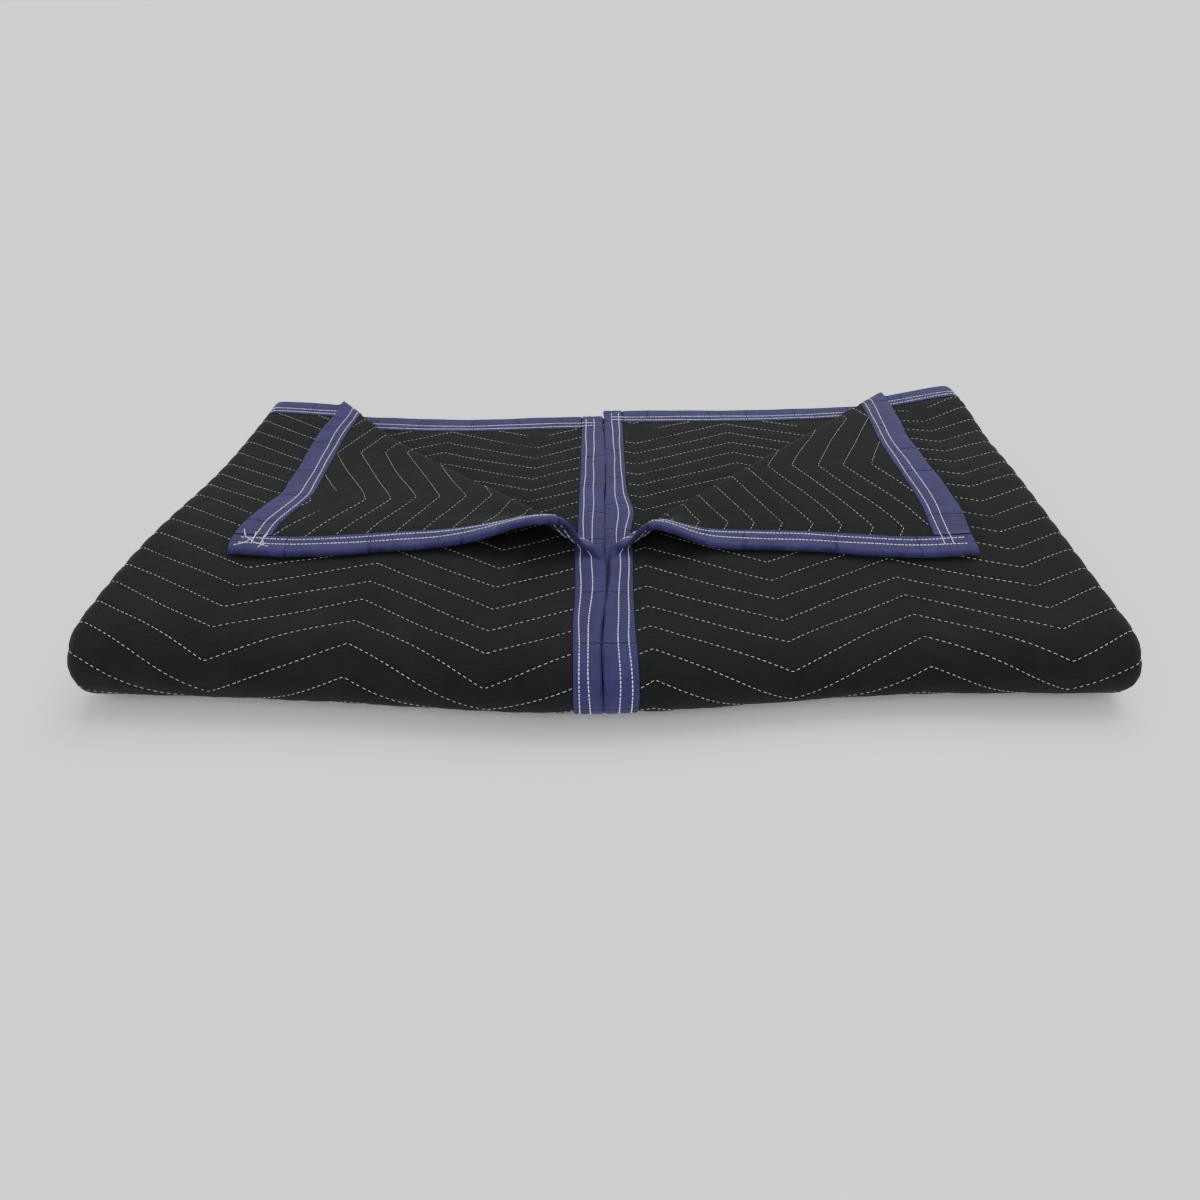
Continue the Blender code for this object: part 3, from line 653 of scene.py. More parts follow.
@dataclass
class BindingTape:
    """A length of tape folded round one edge of the cloth and sewn down with two lines.

    Its section is a thin C. A point of the section has a distance in from the edge, below zero past
    it, and a height from the middle of the cloth. lines are the stitched lines' distances in from the
    tape's own free edge. free_thin, bead_inside and cap_thin are shares that thin it at its free edge,
    inside its bead, and at a closed end.
    """

    folding: Folding
    name: str
    node: str
    width: float
    stops: tuple
    lines: tuple = (0.005, 0.014)
    bead: float = 0.0022
    groove: float = 0.0005
    groove_wide: float = 0.0013
    groove_room: float = 1.4
    free_step: float = 0.0008
    free_thin: tuple = (0.55, 0.95)
    inner_stops: tuple = (0.62, 0.28)
    bead_steps: int = 7
    bead_inside: float = 0.35
    pucker: float = 0.00042
    pucker_mean: float = 0.35
    pucker_swing: float = 0.4
    pucker_held: float = 0.6
    pucker_terms: tuple = ((520.0, 60.0, 0.0, 1.0), (830.0, -90.0, 1.0, 0.8), (287.0, 0.0, 2.0, 0.9))
    loose_edge: tuple = (-0.001, 0.004)
    loose_free: float = 0.002
    rim_drift: float = 0.0006
    rim_terms: tuple = ((37.0, 900.0, 0.0, 1.0), (101.0, 0.0, 0.0, 0.6))
    step: float = 0.0045
    cap: float = 0.0
    cap_thin: tuple = (0.14, 0.05)

    def flat(self, run: Array, inward: Array) -> tuple[Array, Array]:
        """The flat place (across, along) at a distance along the tape and in from the edge."""
        raise NotImplementedError

    def section(self) -> tuple[Array, Array, Array]:
        """The outer line of the section: distances in, the face from 1 to -1, and the thickness."""
        first, second = (self.width - line for line in self.lines)
        wide = self.groove_room * self.groove_wide
        inner = second - wide
        stops = [self.width, self.width - self.free_step, first + wide, first, first - wide,
                 (first + second) / 2, second + wide, second, inner,
                 *(share * inner for share in self.inner_stops)]
        turn = np.linspace(0.0, math.pi, self.bead_steps)
        inward = np.concatenate([stops, -self.bead * np.sin(turn), stops[::-1]])
        face = np.concatenate([np.ones(len(stops)), np.cos(turn), -np.ones(len(stops))])
        edge = np.concatenate([self.free_thin, np.ones(len(inward) - 4), self.free_thin[::-1]])
        return inward, face, edge

    def relief(self, run: Array, inward: Array) -> Array:
        """What the outside stands proud: down at the stitched lines, up in puckers between them."""
        first, second = (self.width - line for line in self.lines)
        grooves = bell(inward - first, self.groove_wide) + bell(inward - second, self.groove_wide)
        waves = self.pucker_mean + self.pucker_swing * ripples(self.pucker_terms, run, inward)
        loose = rise(inward, self.width, -self.loose_free) * rise(inward, *self.loose_edge)
        return self.pucker * waves * loose * (1.0 - self.pucker_held * grooves) - self.groove * grooves

    def runs(self) -> Array:
        """The places along the tape in even steps, and one past each end where a cap closes it."""
        low, high = self.stops
        even = np.linspace(low, high, round((high - low) / self.step) + 1)
        return np.concatenate([[low - self.cap], even, [high + self.cap]]) if self.cap else even

    def build(self, material: bpy.types.Material) -> bpy.types.Object:
        """The tape as one closed mesh.

        The inner line of the section lies one thickness inside the outer one.

        Args:
            material: the tape's finish.

        Returns:
            The tape, which stands for the CAD tape.
        """
        cut = self.folding.cut
        inward, face, edge = self.section()
        run, at = np.meshgrid(self.runs(), inward, indexing="ij")
        drift = self.rim_drift * ripples(self.rim_terms, run, self.width)
        drift = drift * smooth(1.0 - at / self.width)
        outer_up = face * (cut.half_edge + cut.tape_gap + cut.tape_thick * edge)
        outer_up = outer_up + face * self.relief(run, at)
        inner_up = np.tile(face * (cut.half_edge + cut.tape_gap * 0.5), (len(run), 1))
        inner_at = np.where(at < 0, at * self.bead_inside, at)
        if self.cap:
            outer_up[[0, -1]] *= self.cap_thin[0]
            inner_up[[0, -1]] *= self.cap_thin[1]
        points = np.concatenate([
            self.folding.place(*self.flat(run, place + drift), up).reshape(-1, 3)
            for place, up in ((at, outer_up), (inner_at, inner_up))
        ])
        flat = np.stack([run, at], axis=-1).reshape(-1, 2)
        outer = np.arange(run.size).reshape(run.shape)
        inner = outer + run.size
        faces = [strip_faces(outer), strip_faces(inner)[:, ::-1]]
        for last, turned in ((0, 1), (-1, -1)):
            along = strip_faces(np.stack([outer[:, last], inner[:, last]]))
            across = strip_faces(np.stack([outer[last], inner[last]]))
            faces += [along[:, ::-turned], across[:, ::turned]]
        faces = outward(points, [np.concatenate(faces)])
        rim = np.tile((1.0 - np.abs(face)) ** 0.5, len(self.runs()))
        made = make_piece(self.name, points, faces, material, {"rim": np.concatenate([rim, rim])},
                          np.concatenate([flat, flat]))
        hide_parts(self.node)
        return made


@dataclass
class SideTape(BindingTape):
    """A tape down one long edge, the whole length of the cloth."""

    side: Side = Side.LEFT

    def flat(self, run: Array, inward: Array) -> tuple[Array, Array]:
        """Across from the edge inwards, along by the run."""
        return self.side.value * (self.folding.cut.half - inward), run


@dataclass
class EndTape(BindingTape):
    """A tape along one short end, between the two side tapes."""

    end: End = End.TOP

    def flat(self, run: Array, inward: Array) -> tuple[Array, Array]:
        """Across by the run, along from the end inwards."""
        return run, inward if self.end is End.TOP else self.folding.cut.length - inward


@dataclass(frozen=True)
class Stitch:
    """One kind of stitch: the length of thread that shows, the step to the next one, and its size.

    places are the tip, two rings and tip, as shares of half its length, and raised their shares of
    proud. shifted and longer are the ranges that chance picks from for each stitch.
    """

    shown: float
    step: float
    radius: float
    proud: float
    places: tuple = (-1.0, -0.62, 0.62, 1.0)
    raised: tuple = (-0.5, 1.0, 1.0, -0.5)
    shifted: tuple = (-0.06, 0.06)
    longer: tuple = (0.90, 1.06)


@dataclass
class Thread:
    """Stitches sewn through the flat cloth, each a spindle whose ends go down into it.

    outward times a stitch's height gives a second place over it, which shows the way out of the cloth.
    """

    folding: Folding
    name: str
    stitch: Stitch
    seed: int
    parts: list = field(default_factory=list)
    outward: float = 1.1

    def sew(self, across: Array, along: Array, up: Array, face: Face) -> None:
        """Lays stitches along one line of flat places, evenly by length.

        Args:
            across, along: the line's places, close together.
            up: the height of the cloth's surface there, from the middle of the cloth.
            face: the face that it is sewn on.
        """
        steps = np.hypot(np.diff(across), np.diff(along))
        length = np.concatenate([[0.0], np.cumsum(steps)])
        count = int(length[-1] / self.stitch.step)
        if count < 1:
            return
        rng = np.random.default_rng(self.seed + len(self.parts))
        start = (length[-1] - count * self.stitch.step) / 2 + self.stitch.step / 2
        middle = start + self.stitch.step * (np.arange(count) + rng.uniform(*self.stitch.shifted, count))
        reach = self.stitch.shown / 2 * rng.uniform(*self.stitch.longer, count)
        at = middle[:, None] + reach[:, None] * np.array(self.stitch.places)
        flat_across, flat_along, surface = (np.interp(at, length, line) for line in (across, along, up))
        lifted = face.value * (surface + np.array(self.stitch.raised) * self.stitch.proud)
        self.parts.append((flat_across, flat_along, lifted))

    def build(self, material: bpy.types.Material) -> bpy.types.Object:
        """All the stitches as one mesh, each with two rings of four points and two tips."""
        across, along, up = (np.concatenate([part[n] for part in self.parts]) for n in range(3))
        place = self.folding.place
        line = place(across, along, up)
        ahead = line[:, 3] - line[:, 0]
        ahead = ahead / np.linalg.norm(ahead, axis=1, keepdims=True)
        outward = place(across[:, 1], along[:, 1], up[:, 1] * self.outward) - line[:, 1]
        outward = outward - (outward * ahead).sum(1, keepdims=True) * ahead
        outward = outward / np.linalg.norm(outward, axis=1, keepdims=True)
        beside = np.cross(ahead, outward)
        radius = self.stitch.radius
        rings = [line[:, n, None] + radius * np.stack([outward, beside, -outward, -beside], axis=1)
                 for n in (1, 2)]
        points = np.concatenate([line[:, :1], *rings, line[:, 3:]], axis=1)
        first = np.arange(len(line))[:, None, None] * points.shape[1]
        around = np.arange(4)
        after = (around + 1) % 4
        tips = np.concatenate([
            np.stack([np.zeros(4, int), 1 + after, 1 + around], axis=-1),
            np.stack([np.full(4, 9), 5 + around, 5 + after], axis=-1),
        ])
        sides = np.stack([1 + around, 1 + after, 5 + after, 5 + around], axis=-1)
        faces = [(tips + first).reshape(-1, 3), (sides + first).reshape(-1, 4)]
        return make_piece(self.name, points.reshape(-1, 3), faces, material)


@dataclass
class QuiltingThread:
    """The pale thread of the quilting rows, on both faces where they show."""

    folding: Folding
    stitch: Stitch = Stitch(shown=0.0037, step=0.0052, radius=0.00017, proud=0.00016)
    clear: float = -0.0015
    end_lift: float = 0.0008
    end_reach: float = 0.080
    shortest: int = 9
    sample: float = 0.002
    spare_rows: int = 4
    outer_to: float = 1.00
    top_to: float = 0.5
    roll_back: float = 0.02
    past_corner: float = 0.012
    past_swing: float = 0.03

    def row_line(self, row: float, side: Side, low: float, high: float) -> tuple[Array, Array]:
        """One row's places from low to high out from the middle, on one side."""
        quilt = self.folding.quilt
        out = np.arange(low, high, self.sample)
        across = side.value * out
        return across, row + quilt.swung(across, np.full_like(across, row))

    def build(self, material: bpy.types.Material) -> bpy.types.Object:
        """Every row in its band, cut off at the tapes."""
        fold = self.folding
        cut, quilt = fold.cut, fold.quilt
        thread = Thread(fold, "quilting_thread", self.stitch, 11)
        inner = cut.half - cut.side_tape - self.clear
        corner = fold.corner_length + self.past_corner
        turned = corner + self.past_swing
        for side in Side:
            for n in range(int(cut.length / quilt.pitch) + self.spare_rows):
                row = quilt.offset + n * quilt.pitch
                if row < self.outer_to:
                    self.sew_row(thread, row, side, (fold.gate_start - self.roll_back, inner), Face.OUTER)
                if row < turned or row > cut.length - turned:
                    self.sew_row(thread, row, side, (cut.half - corner, inner), Face.INNER)
        made = thread.build(material)
        return made

    def sew_row(self, thread: Thread, row: float, side: Side, reach: tuple[float, float],
                face: Face) -> None:
        """Sews one row on one face, where it is clear of the end tapes and shows."""
        fold = self.folding
        across, along = self.row_line(row, side, *reach)
        from_end = np.minimum(along, fold.cut.length - along)
        kept = from_end > fold.cut.end_tape
        beyond = fold.beyond_crease(fold.cut.half - np.abs(across), along)
        if face is Face.OUTER and row < self.top_to:
            kept &= beyond < math.pi * fold.corner_radius
        for part in np.split(np.arange(len(across)), np.flatnonzero(np.diff(kept.astype(int))) + 1):
            if kept[part[0]] and len(part) > self.shortest:
                up = fold.quilt.half_thickness(across[part], along[part], np.zeros(len(part)))
                up = up + self.end_lift * (1.0 - smooth(from_end[part] / self.end_reach))
                thread.sew(across[part], along[part], up, face)


@dataclass
class BindingThread:
    """The bright thread of the binding: two lines on each face of each tape."""

    folding: Folding
    stitch: Stitch = Stitch(shown=0.0031, step=0.0034, radius=0.00040, proud=0.00028)
    from_corner: float = 0.006
    sample: float = 0.002
    uneven_terms: tuple = ((31.0, 400.0, 0.0, 0.0005), (90.0, 0.0, 0.0, 0.0003))
    over_side: float = 0.0002
    loose_up: float = 0.0004
    loose_steps: int = 40
    loose: tuple = (
        ((0.034, 0.005), (0.020, 0.011), (0.010, 0.022), (0.004, 0.036)),
        ((0.030, 0.018), (0.018, 0.020), (0.008, 0.012), (0.003, 0.003)),
        ((0.027, 0.030), (0.016, 0.028), (0.008, 0.031), (0.002, 0.026)),
    )

    def build(self, tapes: list[BindingTape], material: bpy.types.Material) -> bpy.types.Object:
        """Both lines of every tape, and a few loose threads on one corner.

        An end tape's lines run on over the side tapes to near the edge.
        """
        thread = Thread(self.folding, "binding_thread", self.stitch, 5)
        cut = self.folding.cut
        for tape in tapes:
            low, high = tape.stops
            at_end = isinstance(tape, EndTape)
            if at_end:
                low, high = low - cut.side_tape, high + cut.side_tape
            run = np.arange(low + self.from_corner, high - self.from_corner, self.sample)
            for line in tape.lines:
                uneven = ripples(self.uneven_terms, run, line)
                across, along = tape.flat(run, tape.width - line + uneven)
                over_side = at_end & (np.abs(across) > cut.half - cut.side_tape)
                up = cut.tape_outer + np.where(over_side, self.over_side, -tape.groove)
                for face in Face:
                    thread.sew(across, along, up, face)
        for ends in self.loose:
            share = np.linspace(0.0, len(ends) - 1.0, self.loose_steps)
            from_side, from_end = (np.interp(share, np.arange(len(ends)), line) for line in zip(*ends))
            up = np.full(self.loose_steps, cut.tape_outer + self.loose_up)
            thread.sew(from_side - cut.half, from_end, up, Face.INNER)
        made = thread.build(material)
        return made


class Wiring:
    """Adds nodes to one node tree and joins them."""

    def __init__(self, tree: bpy.types.NodeTree) -> None:
        """Keeps the tree that the nodes go into."""
        self.tree = tree

    def add(self, kind: str, inputs: dict | None = None, **settings: object) -> bpy.types.Node:
        """One node. An input that is a socket is joined, and any other value is set.

        Args:
            kind: the node's type name.
            inputs: a value or an output socket for each input's name or number.
            settings: the node's own settings.

        Returns:
            The node.
        """
        node = self.tree.nodes.new(kind)
        for name, value in settings.items():
            setattr(node, name, value)
        for name, value in (inputs or {}).items():
            if isinstance(value, bpy.types.NodeSocket):
                self.tree.links.new(value, node.inputs[name])
            else:
                node.inputs[name].default_value = value
        return node

    def math(self, operation: str, *values: object) -> bpy.types.NodeSocket:
        """The result of a Math node on these values or sockets."""
        return self.add("ShaderNodeMath", dict(enumerate(values)), operation=operation).outputs[0]

    def mix(self, factor: object, first: object, second: object) -> bpy.types.NodeSocket:
        """The first colour changed to the second by the factor."""
        node = self.add("ShaderNodeMix", {0: factor, 6: first, 7: second}, data_type="RGBA")
        return node.outputs[2]

    def spread(self, value: object, low: float, high: float, to_low: float = 0.0,
               to_high: float = 1.0) -> bpy.types.NodeSocket:
        """The value moved from one range to another, and kept in it."""
        inputs = {0: value, 1: low, 2: high, 3: to_low, 4: to_high}
        return self.add("ShaderNodeMapRange", inputs).outputs[0]

    def noise(self, where: object, scale: object, detail: float = 2.0,
              rough: float = 0.5) -> bpy.types.NodeSocket:
        """Noise of this scale, from 0 to 1."""
        inputs = {"Vector": where, "Scale": scale, "Detail": detail, "Roughness": rough}
        return self.add("ShaderNodeTexNoise", inputs).outputs[0]

    def stretched(self, where: object, scale: tuple[float, float, float],
                  turned: float = 0.0) -> bpy.types.NodeSocket:
        """The place scaled on each axis, and turned about Z."""
        inputs = {"Vector": where, "Rotation": (0.0, 0.0, turned), "Scale": scale}
        return self.add("ShaderNodeMapping", inputs).outputs[0]

    def total(self, *parts: tuple[object, float]) -> bpy.types.NodeSocket:
        """The sum of the values, each multiplied by its own number."""
        scaled = [self.math("MULTIPLY", value, share) for value, share in parts]
        found = scaled[0]
        for part in scaled[1:]:
            found = self.math("ADD", found, part)
        return found

    def dimmed(self, colour: object, share: object) -> bpy.types.NodeSocket:
        """The colour multiplied by a number."""
        inputs = {0: 1.0, 6: colour, 7: self.grey(share)}
        return self.add("ShaderNodeMix", inputs, data_type="RGBA", blend_type="MULTIPLY").outputs[2]

    def grey(self, tone: object) -> bpy.types.NodeSocket:
        """A grey of this tone."""
        return self.add("ShaderNodeCombineColor", dict.fromkeys(range(3), tone)).outputs[0]

    def group(self, tree: bpy.types.NodeTree, inputs: dict[str, object]) -> bpy.types.NodeOutputs:
        """The outputs of a node group at work on these inputs."""
        return self.add("ShaderNodeGroup", inputs, node_tree=tree).outputs

    def join(self, node: bpy.types.Node, results: dict[str, bpy.types.NodeSocket]) -> None:
        """Joins each result to the node's input of that name."""
        for name, value in results.items():
            self.tree.links.new(value, node.inputs[name])


def new_group(name: str, inputs: list[tuple[str, str, object]], outputs: list[tuple[str, str]]
              ) -> tuple[bpy.types.NodeTree, Wiring, bpy.types.Node, bpy.types.Node]:
    """An empty shader node group with these sockets.

    Args:
        name: the group's name.
        inputs: a name, a kind and a first value for each input.
        outputs: a name and a kind for each output.

    Returns:
        The group, its wiring, its input node and its output node.
    """
    tree = bpy.data.node_groups.new(name, "ShaderNodeTree")
    for label, kind, value in inputs:
        socket = tree.interface.new_socket(label, in_out="INPUT", socket_type="NodeSocket" + kind)
        if value is not None:
            socket.default_value = value
    for label, kind in outputs:
        tree.interface.new_socket(label, in_out="OUTPUT", socket_type="NodeSocket" + kind)
    wiring = Wiring(tree)
    return tree, wiring, wiring.add("NodeGroupInput"), wiring.add("NodeGroupOutput")


class Effects:
    """The node groups that more than one finish uses, each built once."""

    def __init__(self) -> None:
        """Builds the groups."""
        self.weave = self.weave_group()
        self.mottle = self.mottle_group()
        self.lint = self.lint_group()

    def weave_group(self) -> bpy.types.NodeTree:
        """Fine yarns crossing: two sets of ridges, one slanted for a twill, with uneven yarns."""
        inputs = [("Place", "Vector", None), ("Ribs", "Float", 600.0), ("Crossing", "Float", 600.0),
                  ("Slant", "Float", 1.0)]
        tree, wire, given, result = new_group("yarns", inputs, [("Height", "Float"), ("Shade", "Float")])
        parts = wire.add("ShaderNodeSeparateXYZ", {0: given.outputs["Place"]})
        x, y = parts.outputs[0], parts.outputs[1]
        slanted = wire.math("MULTIPLY_ADD", y, given.outputs["Slant"], x)
        wobble = wire.math("MULTIPLY", wire.noise(given.outputs["Place"], 130.0, 2.0), 0.0022)
        ribs = wire.math("MULTIPLY", wire.math("ADD", slanted, wobble), given.outputs["Ribs"])
        crossing = wire.math("MULTIPLY", y, given.outputs["Crossing"])
        first = wire.math("SINE", wire.math("MULTIPLY", ribs, 2.0 * math.pi))
        second = wire.math("SINE", wire.math("MULTIPLY", crossing, 2.0 * math.pi))
        height = wire.math("ADD", wire.total((first, 0.35), (second, 0.15)), 0.5)
        slub = wire.noise(wire.stretched(given.outputs["Place"], (60.0, 900.0, 1.0)), 1.0, 3.0)
        wire.join(result, {"Height": height, "Shade": wire.total((height, 0.5), (slub, 0.5))})
        return tree

    def mottle_group(self) -> bpy.types.NodeTree:
        """Slow change of colour over the surface, from large patches to small ones."""
        inputs = [("Place", "Vector", None), ("Colour", "Color", None), ("Other Colour", "Color", None),
                  ("Patch Scale", "Float", 12.0), ("Contrast", "Float", 1.0)]
        tree, wire, given, result = new_group("mottle", inputs, [("Colour", "Color"), ("Mask", "Float")])
        patches = wire.noise(given.outputs["Place"], given.outputs["Patch Scale"], 5.0, 0.62)
        spread = wire.math("MULTIPLY", wire.math("SUBTRACT", patches, 0.5), given.outputs["Contrast"])
        mask = wire.spread(wire.math("ADD", spread, 0.5), 0.0, 1.0)
        colour = wire.mix(mask, given.outputs["Colour"], given.outputs["Other Colour"])
        wire.join(result, {"Colour": colour, "Mask": mask})
        return tree

    def lint_group(self) -> bpy.types.NodeTree:
        """Sparse pale specks and short fibres of lint, as a mask."""
        inputs = [("Place", "Vector", None), ("Amount", "Float", 0.5)]
        tree, wire, given, result = new_group("lint", inputs, [("Mask", "Float")])
        spots = wire.add("ShaderNodeTexVoronoi", {"Vector": given.outputs["Place"], "Scale": 260.0})
        near = wire.spread(spots.outputs["Distance"], 0.10, 0.04)
        rare = wire.spread(wire.noise(given.outputs["Place"], 190.0, 1.0), 0.66, 0.72)
        fibres = wire.noise(wire.stretched(given.outputs["Place"], (900.0, 160.0, 1.0), 0.7), 1.0, 1.0)
        fibres = wire.spread(fibres, 0.80, 0.86)
        mask = wire.math("MULTIPLY", wire.math("MAXIMUM", wire.math("MULTIPLY", near, rare), fibres),
                         given.outputs["Amount"])
        wire.join(result, {"Mask": mask})
        return tree


Colour = tuple[float, float, float, float]


def new_finish(name: str) -> tuple[bpy.types.Material, Wiring, bpy.types.Node]:
    """A new material with its wiring and its Principled BSDF."""
    material = bpy.data.materials.new(name)
    material.use_nodes = True
    return material, Wiring(material.node_tree), material.node_tree.nodes["Principled BSDF"]


def set_constants(shader: bpy.types.Node, values: dict[str, object]) -> None:
    """Sets the shader's own sockets that are the same all over the surface."""
    for name, value in values.items():
        shader.inputs[name].default_value = value


def dress(wire: Wiring, shader: bpy.types.Node, colour: bpy.types.NodeSocket, height: bpy.types.NodeSocket,
          deep: float, rough: bpy.types.NodeSocket, strength: float = 1.0) -> None:
    """Joins a finish to its shader.

    Args:
        wire: the finish's wiring.
        shader: its Principled BSDF.
        colour: the base colour.
        height: the relief, for the bump.
        deep: the bump's distance, in metres.
        rough: the roughness.
        strength: the bump's strength.
    """
    bump = wire.add("ShaderNodeBump", {"Height": height, "Distance": deep, "Strength": strength})
    wire.join(shader, {"Base Color": colour, "Normal": bump.outputs[0], "Roughness": rough})


@dataclass(frozen=True)
class ClothFinish:
    """Charcoal cotton twill over padding: matt, slightly greenish, mottled and linty, with painted shade
    along the sewn rows.
    """

    dark: Colour = (0.0064, 0.0074, 0.0069, 1.0)
    light: Colour = (0.0118, 0.0133, 0.0124, 1.0)
    lint: Colour = (0.06, 0.06, 0.055, 1.0)
    twill_pitch: float = 0.0025
    yarn_pitch: float = 0.0019

    def build(self, effects: Effects) -> bpy.types.Material:
        """The material, patterned on the flat cloth's own metres."""
        material, wire, shader = new_finish("charcoal_twill")
        flat = wire.add("ShaderNodeUVMap", uv_map="Flat").outputs[0]
        weave = wire.group(effects.weave, {
            "Place": flat, "Ribs": 1 / self.twill_pitch, "Crossing": 1 / self.yarn_pitch, "Slant": 0.8})
        mottle = wire.group(effects.mottle, {
            "Place": flat, "Colour": self.dark, "Other Colour": self.light,
            "Patch Scale": 22.0, "Contrast": 2.2})
        lint = wire.group(effects.lint, {"Place": flat, "Amount": 0.55})
        row = wire.add("ShaderNodeAttribute", attribute_name="from_row").outputs["Fac"]
        # Painted shade: the colour is darkened by up to 28% within 4 mm of a sewn row, where the padding
        # dips.
        seam = wire.spread(row, 0.0, 0.004, 1.0, 0.0)
        yarn = wire.spread(weave["Shade"], 0.2, 0.8, 0.50, 1.50)
        shaded = wire.math("MULTIPLY", yarn, wire.spread(seam, 0.0, 1.0, 1.0, 0.72))
        colour = wire.mix(lint["Mask"], wire.dimmed(mottle["Colour"], shaded), self.lint)
        pull = wire.noise(wire.stretched(flat, (330.0, 60.0, 1.0)), 1.0, 2.0)
        pull = wire.math("MULTIPLY", pull, wire.spread(row, 0.0, 0.008, 1.0, 0.15))
        crumple = wire.noise(flat, 38.0, 4.0, 0.6)
        height = wire.total((weave["Height"], 0.10), (pull, 0.9), (crumple, 1.6))
        dress(wire, shader, colour, height, 0.0012, wire.spread(mottle["Mask"], 0.0, 1.0, 0.84, 0.96))
        set_constants(shader, {"Sheen Weight": 0.03, "Sheen Roughness": 0.5, "Specular IOR Level": 0.10})
        return material


@dataclass(frozen=True)
class TapeFinish:
    """Violet-blue binding tape: a fine plain weave with a soft shine, creased and a little rubbed."""

    dark: Colour = (0.0140, 0.0118, 0.052, 1.0)
    light: Colour = (0.037, 0.031, 0.120, 1.0)
    rubbed: Colour = (0.075, 0.062, 0.180, 1.0)
    lint: Colour = (0.15, 0.14, 0.25, 1.0)
    rib_pitch: float = 0.0009

    def build(self, effects: Effects) -> bpy.types.Material:
        """The material, patterned on the distance along the tape and in from the edge."""
        material, wire, shader = new_finish("violet_blue_tape")
        flat = wire.add("ShaderNodeUVMap", uv_map="Flat").outputs[0]
        weave = wire.group(effects.weave, {
            "Place": flat, "Ribs": 1 / self.rib_pitch, "Crossing": 1 / self.rib_pitch, "Slant": 0.0})
        mottle = wire.group(effects.mottle, {
            "Place": flat, "Colour": self.dark, "Other Colour": self.light,
            "Patch Scale": 34.0, "Contrast": 2.4})
        lint = wire.group(effects.lint, {"Place": flat, "Amount": 0.35})
        coloured = wire.dimmed(mottle["Colour"], wire.spread(weave["Shade"], 0.2, 0.8, 0.86, 1.10))
        rim = wire.add("ShaderNodeAttribute", attribute_name="rim").outputs["Fac"]
        patchy = wire.spread(wire.noise(flat, 90.0, 3.0), 0.45, 0.70)
        worn = wire.math("MULTIPLY", wire.math("MULTIPLY", rim, patchy), 0.35)
        colour = wire.mix(lint["Mask"], wire.mix(worn, coloured, self.rubbed), self.lint)
        creases = wire.noise(wire.stretched(flat, (260.0, 45.0, 1.0)), 1.0, 3.0, 0.55)
        run = wire.add("ShaderNodeSeparateXYZ", {0: flat}).outputs[0]
        bent = wire.math("MULTIPLY_ADD", wire.noise(flat, 55.0, 2.0), 0.012, run)
        across = wire.add("ShaderNodeTexVoronoi", {"W": bent, "Scale": 15.0}, voronoi_dimensions="1D",
                          feature="DISTANCE_TO_EDGE").outputs["Distance"]
        crease = wire.spread(across, 0.0, 0.030, 1.0, 0.0)
        height = wire.total((creases, 1.3), (weave["Height"], 0.10), (wire.noise(flat, 60.0, 3.0), 1.0),
                            (crease, -1.8))
        dress(wire, shader, colour, height, 0.0011, wire.spread(mottle["Mask"], 0.0, 1.0, 0.58, 0.76))
        set_constants(shader, {"Sheen Weight": 0.06, "Sheen Roughness": 0.45, "Specular IOR Level": 0.16})
        return material


@dataclass(frozen=True)
class ThreadFinish:
    """Spun polyester thread, a little uneven in tone."""

    name: str
    dark: Colour
    light: Colour

    def build(self, effects: Effects) -> bpy.types.Material:
        """The material, patterned on Object coordinates."""
        material, wire, shader = new_finish(self.name)
        place = wire.add("ShaderNodeTexCoord").outputs["Object"]
        mottle = wire.group(effects.mottle, {
            "Place": place, "Colour": self.dark, "Other Colour": self.light,
            "Patch Scale": 120.0, "Contrast": 2.2})
        twist = wire.noise(place, 2400.0, 1.0)
        rough = wire.spread(mottle["Mask"], 0.0, 1.0, 0.5, 0.7)
        dress(wire, shader, mottle["Colour"], twist, 0.0002, rough, 0.5)
        set_constants(shader, {"Sheen Weight": 0.10})
        return material


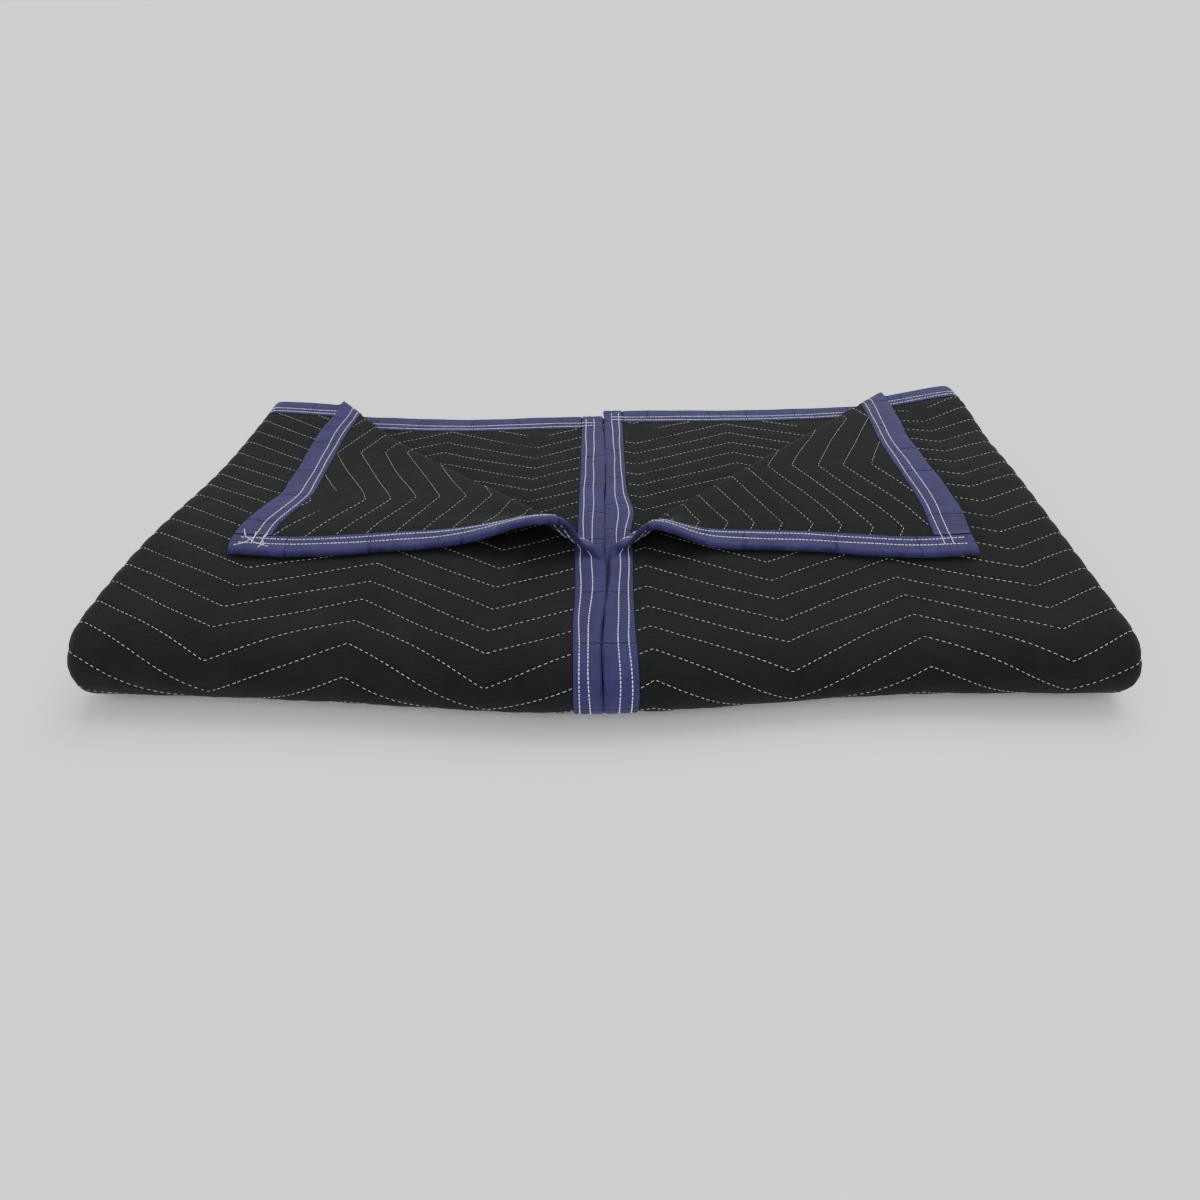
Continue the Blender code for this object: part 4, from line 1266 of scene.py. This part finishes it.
@dataclass(frozen=True)
class Stage:
    """A plain pale floor and soft studio light."""

    floor_half: float = 250.0
    floor_tone: float = 0.90
    floor_uneven: float = 0.01
    world_colour: Colour = (1.0, 1.0, 1.0, 1.0)
    world_strength: float = 0.75
    lamps: tuple = (("key", 70.0, 58.0, 50.0, 2.2), ("fill", 250.0, 26.0, 70.0, 1.5))

    def floor(self) -> None:
        """One pale square under the blanket."""
        mesh = bpy.data.meshes.new("floor")
        half = self.floor_half
        corners = [(-half, -half, 0), (half, -half, 0), (half, half, 0), (-half, half, 0)]
        mesh.from_pydata(corners, [], [(0, 1, 2, 3)])
        material, wire, shader = new_finish("pale_floor")
        place = wire.add("ShaderNodeTexCoord").outputs["Object"]
        low, high = self.floor_tone - self.floor_uneven, self.floor_tone + self.floor_uneven
        tone = wire.spread(wire.noise(place, 3.0, 3.0), 0.0, 1.0, low, high)
        wire.join(shader, {"Base Color": wire.grey(tone)})
        set_constants(shader, {"Roughness": 0.9, "Specular IOR Level": 0.1})
        mesh.materials.append(material)
        floor = bpy.data.objects.new("floor", mesh)
        bpy.context.scene.collection.objects.link(floor)

    def light(self, name: str, turned: float, raised: float, soft: float, power: float) -> None:
        """One far soft light.

        Args:
            name: the lamp's name.
            turned: where it stands, as an angle from +X, in degrees.
            raised: its height as an angle over the floor, in degrees.
            soft: how wide it looks, in degrees.
            power: its strength.
        """
        data = bpy.data.lights.new(name, "SUN")
        data.energy = power
        data.angle = math.radians(soft)
        lamp = bpy.data.objects.new(name, data)
        facing = Matrix.Rotation(math.radians(turned + 90.0), 4, "Z")
        lamp.matrix_world = facing @ Matrix.Rotation(math.radians(90.0 - raised), 4, "X")
        bpy.context.scene.collection.objects.link(lamp)

    def build(self) -> None:
        """The floor, the world's even light, and two soft lamps."""
        self.floor()
        world = bpy.data.worlds.new("studio")
        world.use_nodes = True
        ground = world.node_tree.nodes["Background"]
        ground.inputs[0].default_value = self.world_colour
        ground.inputs[1].default_value = self.world_strength
        bpy.context.scene.world = world
        for lamp in self.lamps:
            self.light(*lamp)


@dataclass(frozen=True)
class PhotoCamera:
    """The photograph's view: where it stands, how it is turned, and its focal length."""

    place: tuple = (-0.0111, -0.7726, 0.4985)
    turned: float = -0.0014
    pitched_down: float = math.radians(36.195)
    rolled: float = math.radians(-0.120)
    focal_pixels: float = 824.5
    frame_pixels: float = 1200.0
    sensor: float = 36.0
    nearest: float = 0.01

    def build(self) -> None:
        """Makes the camera and gives it to the scene."""
        data = bpy.data.cameras.new("photo_camera")
        data.sensor_width = self.sensor
        data.lens = self.sensor * self.focal_pixels / self.frame_pixels
        data.clip_start = self.nearest
        camera = bpy.data.objects.new("photo_camera", data)
        turn = Matrix.Rotation(self.turned, 4, "Z") @ Matrix.Rotation(math.pi / 2 - self.pitched_down, 4, "X")
        turn = turn @ Matrix.Rotation(self.rolled, 4, "Z")
        camera.matrix_world = Matrix.Translation(self.place) @ turn
        bpy.context.scene.collection.objects.link(camera)
        bpy.context.scene.camera = camera


def main() -> None:
    """Builds the blanket piece by piece, then the stage and the camera."""
    logging.basicConfig(level=logging.INFO, format="%(message)s")
    PhotoCamera().build()
    effects = Effects()
    cut = Cut()
    folding = Folding(cut, Quilt(cut))
    cloth_finish = ClothFinish().build(effects)
    tape_finish = TapeFinish().build(effects)
    cream = ThreadFinish("cream_thread", (0.62, 0.61, 0.52, 1.0), (0.96, 0.95, 0.86, 1.0))
    white = ThreadFinish("white_thread", (0.74, 0.74, 0.90, 1.0), (1.0, 1.0, 1.0, 1.0))
    cloth = QuiltedCloth(folding).build(cloth_finish)
    inner = cut.half - cut.side_tape - cut.tape_gap - cut.tape_apart
    length_run, width_run = (-0.001, cut.length + 0.001), (-inner, inner)
    tapes = [
        *(SideTape(folding, f"side_tape_{side.name.lower()}", f"side_binding_{side.name.lower()}",
                   cut.side_tape, length_run, cap=0.0013, side=side) for side in Side),
        *(EndTape(folding, f"end_tape_{end.name.lower()}", f"end_binding_{end.name.lower()}",
                  cut.end_tape, width_run, end=end) for end in End),
    ]
    bindings = [tape.build(tape_finish) for tape in tapes]
    quilting = QuiltingThread(folding).build(cream.build(effects))
    binding = BindingThread(folding).build(tapes, white.build(effects))
    Stage().build()
    bpy.context.view_layer.update()


if __name__ == "__main__":
    main()
